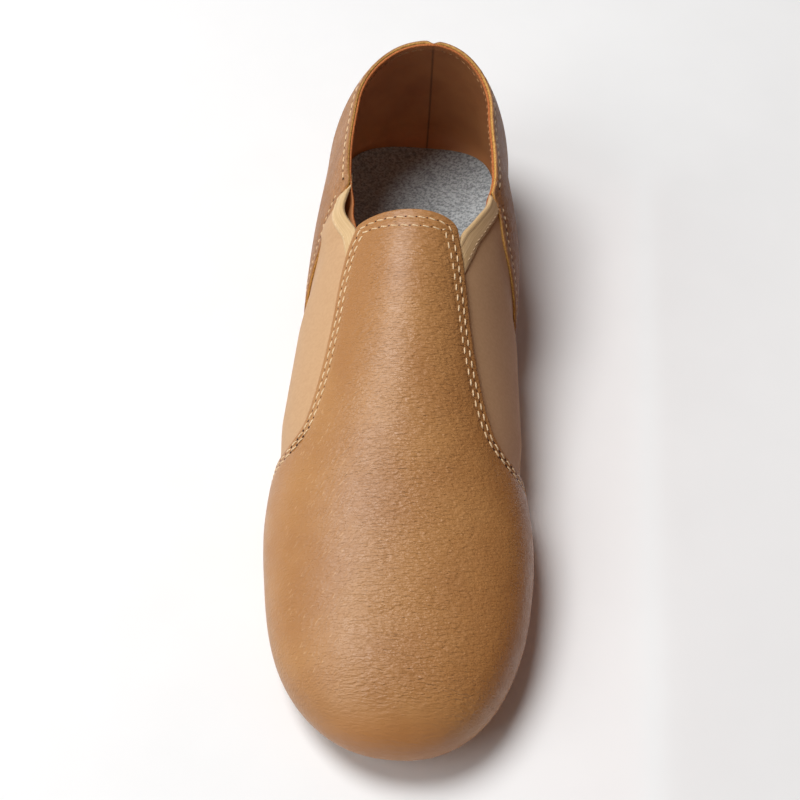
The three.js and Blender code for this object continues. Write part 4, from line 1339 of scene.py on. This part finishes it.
def make_card():
    """A brown card that stands by the inner side, out of the camera's sight,
    and keeps the floor's white light off that side."""
    near, back, front, low, high = 0.082, 0.03, -0.24, 0.006, 0.085
    corners = [(near, back, low), (near, back, high), (near, front, high), (near, front, low)]
    card = put_stage("brown_card", corners, (96, 44, 14), (90, 40, 12))
    card.visible_camera = card.visible_shadow = False


def area_light(name, place, aim, size, power, colour=(1, 1, 1)):
    """A soft round light at a place, turned to face its aim."""
    lamp = bpy.data.lights.new(name, "AREA")
    lamp.shape = "DISK"
    lamp.size, lamp.energy, lamp.color = size, power, colour
    light = bpy.data.objects.new(name, lamp)
    light.location = place
    light.rotation_mode = "QUATERNION"
    light.rotation_quaternion = (Vector(aim) - Vector(place)).to_track_quat("-Z", "Y")
    bpy.context.scene.collection.objects.link(light)


def make_lights():
    """Three soft disc lights and a faint white surround. Places are in metres
    and powers in watts."""
    aim = (0, -0.09, 0.03)
    area_light("key", (-0.5, 0.09, 1.23), aim, size=0.7, power=15.5)
    area_light("left_fill", (-0.86, -0.64, 0.84), aim, size=0.9, power=5.5)
    area_light("warm_bounce", (0.9, -0.1, 0.3), aim, size=0.9, power=0.35, colour=(1.0, 0.34, 0.08))
    world = bpy.data.worlds.new("studio")
    world.use_nodes = True
    back = world.node_tree.nodes["Background"]
    back.inputs["Color"].default_value = (1, 1, 1, 1)
    back.inputs["Strength"].default_value = 0.1
    bpy.context.scene.world = world
    bpy.context.scene.view_settings.view_transform = "Standard"


# The viewpoint, in millimetres and degrees: where the camera stands, how far
# it looks down, and its turns to the side and about its own axis
EYE = (5.76, -386.2, 450.96)
PITCH, YAW, ROLL = 55.426, 3.852, 4.619

# In pixels of the photo: its width, its focal length, and how far its middle
# lies to the right of and over the line of sight
PHOTO_WIDTH, FOCAL, TO_RIGHT, OVER = 800, 1595, -132, 4
SENSOR = 36


def turned(a, b, angle):
    """Two vectors at right angles, the first turned towards the second."""
    return np.cos(angle) * a + np.sin(angle) * b, np.cos(angle) * b - np.sin(angle) * a


def make_camera():
    """Looks from EYE straight at the middle of the photo's frame."""
    pitch, yaw, roll = np.radians([PITCH, YAW, ROLL])
    ahead = np.array([0, np.cos(pitch), -np.sin(pitch)])
    up = np.array([0, np.sin(pitch), np.cos(pitch)])
    ahead, right = turned(ahead, np.array([1.0, 0, 0]), yaw)
    right, up = turned(right, up, roll)
    centred = TO_RIGHT * right + OVER * up + FOCAL * ahead
    centred /= np.linalg.norm(centred)
    right -= (right @ centred) * centred
    right /= np.linalg.norm(right)
    up = np.cross(right, centred)
    lens = bpy.data.cameras.new("photo_camera")
    lens.sensor_width = SENSOR
    lens.lens = FOCAL / PHOTO_WIDTH * SENSOR
    lens.clip_start, lens.clip_end = 0.01, 20
    camera = bpy.data.objects.new("photo_camera", lens)
    place = Matrix(np.stack([right, up, -centred], 1).tolist()).to_4x4()
    place.translation = Vector(EYE) * MM
    camera.matrix_world = place
    bpy.context.scene.collection.objects.link(camera)
    bpy.context.scene.camera = camera


make_floor()
make_card()
make_lights()
make_camera()
